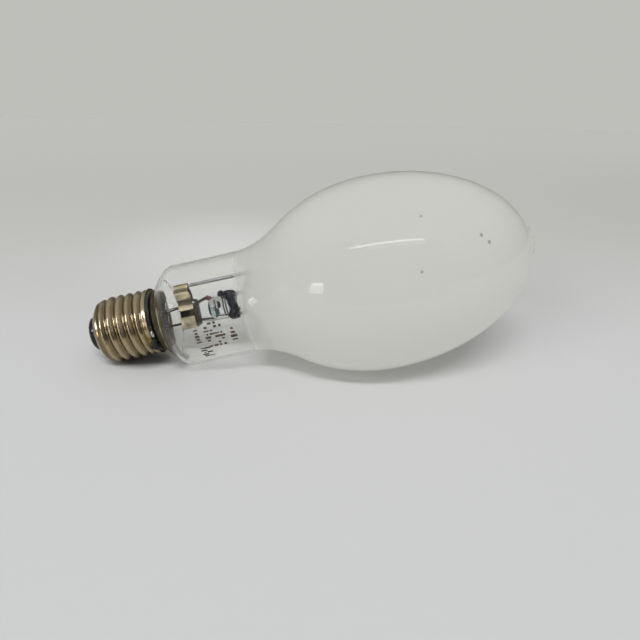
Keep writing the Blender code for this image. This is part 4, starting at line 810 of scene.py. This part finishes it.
def makeRodSleeve():
    low, high, radius, edge = (sleeveShape[k] for k in ("low", "high", "radius", "edge"))
    outline = [(0.0, high), (radius - edge, high), (radius, high - edge),
               (radius, low + edge), (radius - edge, low), (0.0, low)]
    space = mountSpace @ Matrix.Translation((sleeveShape["across"], 0.0, 0.0))
    return turnedPiece("rodSleeve", outline, sleeveShape["sides"], space, ["rodSteel"])


keepPiece(makeStem(), "clear_glass", "stem_glass")
for name, (points, radius) in shortLeads.items():
    keepPiece(bentLead(name, points, radius), "nickel")
keepPiece(makeRodSleeve(), "steel")

# Wires and small pieces kept as smoothed copies: finish and slot of each group of nodes
wireGroups = (
    ("copperLead", "copper", ("side_lead", "centre_lead")),
    ("leadNickel", "nickel", ("frame_lead", "filament_lead")),
    ("rodSteel", "steel", ("frame_rod",)),
    ("tungstenWire", "tungsten", ("filament",)),
    ("leadNickel", "nickel", (
        "lower_electrode_lead", "upper_electrode_lead", "starter_lead", "resistor_lead")),
    ("oxidisedNickel", "dark_nickel", (
        "lower_hook_1", "lower_hook_2", "lower_hook_3", "lower_hook_4",
        "upper_hook_1", "upper_hook_2", "upper_hook_3")))
smallGroups = (
    ("quartzGlass", "quartz", ("arc_tube",)),
    ("blackCeramic", "black_ceramic", ("upper_star",)),
    ("springSteel", "steel", ("crown_spring", "lower_clip", "upper_clip")),
    ("tungstenWire", "tungsten", ("lower_electrode", "upper_electrode", "starting_electrode")),
    ("blackCeramic", "black_ceramic", ("starting_resistor",)))
for groups, angle, flatten in ((wireGroups, 60.0, False), (smallGroups, 40.0, True)):
    for material, slot, nodes in groups:
        for node in nodes:
            keepPiece(smoothCopy(node, material, angle, flatten=flatten), slot, node)
for node in ("lower_foil", "starter_foil", "upper_foil"):
    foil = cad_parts[node].data
    foil.materials.clear()
    foil.materials.append(finish["springSteel"])
print("cap and mount made")


# Folded strap round the press

strapShape = {
    "low": 0.0372, "width": 0.0057, "sheet": 0.0003, "face": 0.0027, "rodAt": 0.011, "rodSeat": 0.001,
    "rodStart": -1.3, "rodEnd": 1.5, "windowHalf": 0.0013, "windowDepth": 0.0013, "windowLean": 0.96,
    "shadeFrom": 0.00082, "shadeTo": 0.0026, "tabShift": -0.0009, "tabStart": 0.0065, "tabLength": 0.003,
    "windowSag": 0.0001, "shadeReach": 1.02, "dents": 0.00012, "dentWaves": (900, 700, 1500), "rows": 10,
    "easedWidth": 0.00006, "easedAngle": 50.0}
# Its folds seen along the stem, in millimetres: the front on either side of the window, then the back
strapFront = (
    (10.1, 1.05), (9.8, 1.3), (9.0, 2.3), (8.7, 2.55), (8.3, 2.7), (7.2, 2.62), (6.3, 2.7), (5.95, 2.75),
    (5.7, 3.1), (5.55, 3.1), (5.35, 2.75), (5.0, 2.55), (3.6, 2.35), (2.4, 2.45), (1.75, 2.85), (1.45, 2.9),
    (1.3, 2.7))
strapBack = (
    (-1.3, 2.6), (-1.45, 2.8), (-1.8, 2.75), (-3.2, 2.62), (-4.4, 2.7), (-5.0, 2.62), (-5.4, 2.35),
    (-5.68, 1.9), (-5.75, 1.2), (-5.75, -1.2), (-5.4, -2.3), (-4.8, -2.7), (8.7, -2.7), (9.8, -1.3),
    (10.5, -1.05))


def strapPath():
    seat, rodAt = strapShape["rodSeat"], strapShape["rodAt"]
    side = strapShape["windowHalf"] * strapShape["windowLean"]
    floor = strapShape["face"] - strapShape["windowDepth"]
    path = [(rodAt + seat * math.cos(a), seat * math.sin(a))
            for a in between(strapShape["rodStart"], strapShape["rodEnd"], 9)]
    window = [(side, floor), (0.0, floor - strapShape["windowSag"]), (-side, floor)]
    return path + fromMillimetres(strapFront) + window + fromMillimetres(strapBack)


def makeStrap():
    g = strapShape
    across, along, shiver = g["dentWaves"]
    shape = bmesh.new()
    rows = []
    for x, y in strapPath():
        shift = g["tabShift"] * easeIn((x - g["tabStart"]) / g["tabLength"])
        row = []
        for z in between(0.0, g["width"], g["rows"]):
            dent = g["dents"] * math.sin(x * across + z * along) * math.sin(z * shiver + 1)
            row.append(shape.verts.new((x, y + dent, g["low"] + z + shift)))
        rows.append(row)
    for low, high in zip(rows, rows[1:]):
        for j in range(g["rows"]):
            face = shape.faces.new((low[j], low[j + 1], high[j + 1], high[j]))
            middle = face.calc_center_median()
            inWindow = abs(middle.x) < g["windowHalf"] * g["shadeReach"]
            # Faces in the window's recess take the near-black painted shade.
            face.material_index = int(inWindow and g["shadeFrom"] < middle.y < g["shadeTo"])
    bmesh.ops.recalc_face_normals(shape, faces=shape.faces)
    made = placeMesh("foldedStrap", shape, mountSpace, ["strapNickel", "strapFoldShade"])
    wall = made.modifiers.new("sheet", "SOLIDIFY")
    wall.thickness = g["sheet"]
    wall.offset = 0.0
    easeEdges(made, g["easedWidth"], g["easedAngle"])
    return made


keepPiece(makeStrap(), "nickel", "stem_strap")


# Glass bead, its rings and the black star behind it

beadShape = {
    "radius": 0.0047, "low": 0.0484, "high": 0.0567, "edge": 0.0009, "taper": 0.05, "foot": 0.0025,
    "footStart": 0.2, "sides": 48}
# Its rounded top: how far out as a share of the radius, and how far down as a share of the edge
beadTop = ((0.0, 0.0), (0.7, 0.0), (0.9, 1 / 3), (0.97, 1.0))


def makeBead():
    radius, low, high, edge, taper, foot = (
        beadShape[k] for k in ("radius", "low", "high", "edge", "taper", "foot"))
    outline = [(radius * out, high - edge * down) for out, down in beadTop]
    outline += [(radius * (1 - taper * t), high - edge - (high - low - edge - foot) * t)
                for t in between(0.0, 1.0, 5)]
    outline += [(radius * (1 - taper) * math.cos(a), low + foot - foot * math.sin(a))
                for a in between(beadShape["footStart"], math.pi / 2, 8)]
    outline[-1] = (0.0, outline[-1][1])
    return turnedPiece("clearBead", outline, beadShape["sides"], mountSpace, ["mountGlass"])


# Bent wires round the bead: height, radius, thickness, start and span of the turn
beadRing = (0.0494, 0.0026, 0.0006, 0.0, math.tau * 0.98)
beadStripes = (
    (0.0519, 0.0040, 0.00042, 0.75, 1.5), (0.0531, 0.0048, 0.00020, 1.0, 1.3),
    (0.0553, 0.0048, 0.00032, 0.5, 2.1), (0.0563, 0.0049, 0.00026, 0.4, 2.3))
ringMesh = {"steps": 40, "sides": 10, "endSteps": 3.0, "endSize": 0.25}


def ringPiece(name, height, radius, thickness, start, span):
    shape = bmesh.new()
    rings = []
    for i, turn in enumerate(between(start, start + span, ringMesh["steps"])):
        out = Vector((math.cos(turn), math.sin(turn), 0.0))
        end = min(i, ringMesh["steps"] - i) / ringMesh["endSteps"]
        thick = thickness * min(1.0, ringMesh["endSize"] + end)
        rings.append([shape.verts.new(
            out * (radius + thick * math.cos(a)) + Vector((0.0, 0.0, height + thick * math.sin(a))))
            for a in turnsOf(ringMesh["sides"])])
    joinRings(shape, rings)
    return placeMesh(name, shape, mountSpace, ["oxidisedNickel"])


def lumpsInto(shape, lumps):
    # Round lumps, each as its place and half sizes in millimetres.
    for place, halves in (fromMillimetres(lump) for lump in lumps):
        made = bmesh.ops.create_uvsphere(shape, u_segments=24, v_segments=12, radius=1.0)
        for vert in made["verts"]:
            vert.co = Vector(place) + Vector([part * half for part, half in zip(vert.co, halves)])


# Lumps of the black star, in the mount's space
starLumps = (
    ((1.4, 0.8, 58.0), (3.0, 2.6, 1.7)), ((5.0, 1.0, 57.1), (0.9, 0.9, 2.8)),
    ((-3.8, 1.2, 58.2), (2.1, 1.8, 2.4)), ((-2.2, 1.4, 60.2), (0.9, 0.9, 1.3)),
    ((4.9, 1.2, 54.5), (1.5, 1.2, 1.4)), ((0.8, 3.0, 53.4), (1.3, 0.5, 0.7)),
    ((-1.2, 1.0, 58.8), (2.2, 2.0, 1.6)), ((3.2, 1.0, 55.6), (1.2, 1.2, 1.3)))


def makeStar():
    shape = bmesh.new()
    shape.from_mesh(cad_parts["lower_star"].data)
    bmesh.ops.remove_doubles(shape, verts=shape.verts, dist=weldDistance)
    shape.transform(mountSpace.inverted())
    lumpsInto(shape, starLumps)
    return placeMesh("blackStar", shape, mountSpace, ["blackCeramic"])


keepPiece(makeBead(), "clear_glass", "glass_bead")
keepPiece(ringPiece("beadRing", *beadRing), "dark_nickel", "bead_ring")
for number, stripe in enumerate(beadStripes):
    keepPiece(ringPiece("beadStripe%d" % number, *stripe), "dark_nickel")
keepPiece(makeStar(), "black_ceramic", "lower_star")

# Small drops and lumps: space, finish, slot, and the place and half sizes of each
dropShapes = {
    "beadDrop": (mountSpace, "tealGlass", "clear_glass", (((-1.4, 1.0, 50.7), (1.9, 1.9, 1.9)),)),
    "beadWeld": (mountSpace, "redWeld", "copper", (((4.2, 1.0, 49.5), (0.9, 0.9, 1.1)),)),
    "cementLump": (ownSpace, "tarBlack", "cement", (
        ((-59.0, -12.0, 13.6), (1.5, 1.4, 2.1)), ((-58.3, -10.8, 11.4), (1.9, 1.4, 1.7)),
        ((-59.7, -12.4, 12.2), (1.1, 1.0, 1.3))))}
for name, (space, material, slot, lumps) in dropShapes.items():
    shape = bmesh.new()
    lumpsInto(shape, lumps)
    keepPiece(placeMesh(name, shape, space, [material]), slot)
print("strap and bead made")


# Stamp marks on the neck, from Geometry Nodes: rows of plain dashes and blocks

stampShape = {
    "Radius": 0.02013, "Height": 0.0455, "Turn": 0.0, "Columns": 1, "Rows": 6, "Column Gap": 0.002,
    "Row Gap": 0.0013, "Mark Length": 0.0022, "Mark Width": 0.00075, "Sheet": 0.00003, "Kept Share": 0.95,
    "Seed": 4}
# The groups of marks: what differs from stampShape
stampGroups = {
    "stampLeft": {"Height": 0.0459, "Turn": -0.08, "Rows": 6, "Seed": 3},
    "stampRight": {"Height": 0.0592, "Turn": -0.10, "Rows": 5, "Row Gap": 0.0017, "Mark Width": 0.0009,
                   "Seed": 8},
    "stampMiddle": {"Height": 0.0525, "Turn": -0.08, "Columns": 4, "Rows": 8, "Column Gap": 0.0018,
                    "Row Gap": 0.0014, "Kept Share": 0.5, "Mark Length": 0.0019, "Mark Width": 0.0008,
                    "Seed": 21},
    "stampLow": {"Height": 0.0473, "Turn": -0.47, "Columns": 2, "Rows": 5, "Kept Share": 0.8, "Seed": 12}}
# The least and the most that a mark is stretched
markStretch = ((0.35, 0.7, 1.0), (1.15, 1.3, 1.0))


def stampTree():
    tree, size = startTree("plainStampMarks", stampShape)
    grid = addNode("GeometryNodeMeshGrid", {
        "Size X": calc("MULTIPLY", size["Column Gap"], calc("SUBTRACT", size["Columns"], 1.0)),
        "Size Y": calc("MULTIPLY", size["Row Gap"], calc("SUBTRACT", size["Rows"], 1.0)),
        "Vertices X": size["Columns"], "Vertices Y": size["Rows"]}).outputs["Mesh"]
    kept = addNode("FunctionNodeRandomValue", {
        "Probability": size["Kept Share"], "Seed": size["Seed"]}, data_type="BOOLEAN").outputs[3]
    cell = addNode("ShaderNodeCombineXYZ", {
        0: size["Mark Length"], 1: size["Mark Width"], 2: size["Sheet"]}).outputs[0]
    block = addNode("GeometryNodeMeshCube", {
        "Size": cell, "Vertices X": 2, "Vertices Y": 3, "Vertices Z": 2}).outputs["Mesh"]
    stretch = addNode("FunctionNodeRandomValue", {
        0: markStretch[0], 1: markStretch[1], "Seed": calc("ADD", size["Seed"], 5.0)},
        data_type="FLOAT_VECTOR").outputs[0]
    marks = addNode("GeometryNodeInstanceOnPoints", {
        "Points": grid, "Selection": kept, "Instance": block, "Scale": stretch}).outputs[0]
    real = addNode("GeometryNodeRealizeInstances", {"Geometry": marks}).outputs[0]
    spot = splitPlace(addNode("GeometryNodeInputPosition").outputs[0])
    # Turn 0 is the side of the neck that faces the viewer.
    angle = calc("ADD", size["Turn"], calc("DIVIDE", spot["Y"], size["Radius"]))
    angle = calc("SUBTRACT", math.pi / 2, angle)
    out = calc("ADD", size["Radius"], spot["Z"])
    height = calc("ADD", size["Height"], spot["X"])
    finishTree(wrapRound(real, out, angle, height), finish["brownStampInk"])
    return tree


marksTree = stampTree()
for name, changes in stampGroups.items():
    stamp = pieceFromTree(name, marksTree, {**stampShape, **changes})
    stamp.data.transform(lampSpace)
    keepPiece(stamp, "cement")
print("stamp marks made")


# Table, light and camera

tableLook = {
    "near": rgb(0.595, 0.601, 0.600), "far": rgb(0.515, 0.520, 0.492), "farStarts": (-0.02, 0.25),
    "edge": rgb(0.556, 0.561, 0.531), "edgeStarts": (0.22, 0.55), "clouds": (5.0, 2.0), "drift": 0.06,
    # Painted light and shade on the table: a pool of light behind the neck, a soft shadow right of the bulb,
    # a shadow under the cap.
    "shadeAt": (0.33, 0.20, 0.0), "shadeSize": 0.24, "shade": 0.06,
    "lightAt": (-0.045, 0.120, 0.0), "lightSize": 0.095, "light": rgb(0.644, 0.648, 0.630),
    "underCap": (-0.0668, -0.0018, 0.0), "underSize": (0.0165, 0.0092), "underCore": 0.35, "underShade": 0.7,
    "dark": rgb(0.0, 0.0, 0.0), "roughness": 0.85, "gloss": 0.1}
tableSize = {"reach": 2.5, "back": 0.55}


def tableSurface(place, **look):
    # Towards the back the sheet takes on the slightly darker tone of a wall.
    depth = splitPlace(place)["Y"]
    drift = calc("MULTIPLY_ADD", noiseAt(place, *look["clouds"]), look["drift"], depth)
    colour = mixColour(easeRange(drift, *look["farStarts"]), look["near"], look["far"])
    colour = mixColour(easeRange(depth, *look["edgeStarts"]), colour, look["edge"])
    # A painted pool of light on the table behind the neck.
    lit = spotShare(place, look["lightAt"], look["lightSize"], 0.0)
    colour = mixColour(lit, colour, look["light"])
    # A painted soft shadow right of and behind the bulb.
    shaded = spotShare(place, look["shadeAt"], look["shadeSize"], 0.0, look["shade"])
    colour = mixColour(shaded, colour, look["dark"])
    # A painted shadow on the table under the cap.
    under = vectorCalc("SUBTRACT", place, look["underCap"])
    under = vectorCalc("MULTIPLY", under, (1 / look["underSize"][0], 1 / look["underSize"][1], 0.0))
    under = vectorCalc("LENGTH", under)
    under = easeRange(under, look["underCore"], 1.0, look["underShade"], 0.0)
    colour = mixColour(under, colour, look["dark"])
    return surfaceOf(colour, look["roughness"], {"Specular IOR Level": look["gloss"]})


def addSheet(name, corners, build, look, smooth=False):
    # A flat sheet of the stage, with a finish of its own.
    finish[name] = makeMaterial(name, build, look)
    shape = bmesh.new()
    shape.faces.new([shape.verts.new(corner) for corner in corners])
    made = placeMesh(name, shape, ownSpace, [name], smooth)
    return made


def makeTable():
    reach, back = tableSize["reach"], tableSize["back"]
    corners = ((-reach, -reach, 0.0), (reach, -reach, 0.0), (reach, back, 0.0), (-reach, back, 0.0))
    addSheet("paleTable", corners, tableSurface, tableLook, True)


# What shines sees walls that brighten between two heights of view
roomLook = {
    "backdrop": rgb(0.515, 0.521, 0.491), "ambient": rgb(0.44, 0.44, 0.44), "heights": (0.1, 0.7),
    "walls": (0.16, 0.58)}


def makeRoom():
    world = bpy.data.worlds.new("paleRoom")
    bpy.context.scene.world = world
    world.use_nodes = True
    atWork["tree"] = world.node_tree
    world.node_tree.nodes.clear()
    height = splitPlace(addNode("ShaderNodeTexCoord").outputs["Generated"])["Z"]
    walls = easeRange(height, *roomLook["heights"], *roomLook["walls"])
    path = addNode("ShaderNodeLightPath").outputs
    light = mixColour(path["Is Glossy Ray"], roomLook["ambient"], walls)
    seen = calc("MAXIMUM", path["Is Camera Ray"], path["Is Transmission Ray"])
    colour = mixColour(seen, light, roomLook["backdrop"])
    shine = addNode("ShaderNodeBackground", {"Color": colour, "Strength": 1.0})
    addNode("ShaderNodeOutputWorld", {"Surface": shine.outputs[0]})


# Cards that only reflections see: left, right, low and high edge, depth and brightness.
# The dark ones also show through the glass. The screens keep the near window off the neck and the belly.
cards = {
    "darkCard": (-0.214, 0.196, 0.120, 0.350, -0.235, (0.1, 0.1, 0.1)),
    "lowCard": (-0.180, 0.196, 0.0, 0.120, -0.235, (0.1, 0.1, 0.1)),
    "sideWindow": (-0.272, -0.182, 0.038, 0.084, -0.236, (4.2, 4.2, 4.1)),
    "sideWindowTop": (-0.268, -0.198, 0.084, 0.102, -0.236, (9.0, 9.0, 8.8)),
    "brightEdge": (-0.214, 0.135, 0.350, 0.372, -0.235, (8.4, 8.7, 9.0)),
    "softGlow": (-0.07, 0.135, 0.305, 0.350, -0.234, (1.1, 1.25, 1.3)),
    "nearWindow": (-0.36, -0.17, 0.135, 0.34, -0.18, (13.0, 14.6, 17.5)),
    "screen": (-0.118, -0.040, 0.050, 0.140, -0.06, (0.24, 0.24, 0.24)),
    "screenEnd": (-0.040, -0.016, 0.060, 0.140, -0.06, (0.16, 0.16, 0.16))}
darkLevel = 0.15


def glowSurface(place, level):
    return addNode("ShaderNodeEmission", {"Color": rgb(*level), "Strength": 1.0}).outputs[0]


def addCard(name, left, right, low, high, depth, level):
    corners = ((left, depth, low), (right, depth, low), (right, depth, high), (left, depth, high))
    card = addSheet(name, corners, glowSurface, {"level": level})
    card.visible_camera = card.visible_diffuse = card.visible_shadow = False
    card.visible_volume_scatter = False
    card.visible_transmission = max(level) < darkLevel


# Soft lamps that reflections don't see: place, width, height and watts. Both aim at the bulb.
lamps = {
    "longLight": ((-0.3, -3.27, 5.07), 3.5, 0.44, 208.0),
    "sideLight": ((-3.6, -3.66, 3.04), 2.7, 2.1, 81.0)}
lampAim = (0.0, 0.0, 0.04)


def addLamp(name, place, width, height, watts):
    data = bpy.data.lights.new(name, "AREA")
    data.shape = "RECTANGLE"
    data.size = width
    data.size_y = height
    data.energy = watts
    lamp = addObject(name, data)
    lamp.location = place
    lamp.rotation_euler = (Vector(lampAim) - Vector(place)).to_track_quat("-Z", "Y").to_euler()
    lamp.visible_glossy = False


# The camera's place, its turns in degrees, and its focal length and frame in pixels of the picture
cameraLook = {
    "place": (-0.00748, -0.22572, 0.13311), "yaw": 3.190, "pitch": 27.021, "roll": 1.906,
    "focal": 629.5, "frame": 640, "sensor": 36.0, "nearest": 0.01}


def makeCamera():
    yaw, pitch, roll = (math.radians(cameraLook[k]) for k in ("yaw", "pitch", "roll"))
    ahead = Vector((math.sin(yaw) * math.cos(pitch), math.cos(yaw) * math.cos(pitch), -math.sin(pitch)))
    right = Vector((math.cos(yaw), -math.sin(yaw), 0.0))
    up = right.cross(ahead)
    side = right * math.cos(roll) + up * math.sin(roll)
    top = up * math.cos(roll) - right * math.sin(roll)
    data = bpy.data.cameras.new("camera")
    data.sensor_width = cameraLook["sensor"]
    data.lens = cameraLook["focal"] / cameraLook["frame"] * cameraLook["sensor"]
    data.clip_start = cameraLook["nearest"]
    camera = addObject("camera", data)
    turned = Matrix((side, top, -ahead)).transposed().to_4x4()
    camera.matrix_world = Matrix.Translation(cameraLook["place"]) @ turned
    bpy.context.scene.camera = camera


makeTable()
makeRoom()
makeCamera()
for name, settings in lamps.items():
    addLamp(name, *settings)
for name, settings in cards.items():
    addCard(name, *settings)
bpy.context.scene.view_settings.view_transform = "Standard"
print("table, light and camera made")
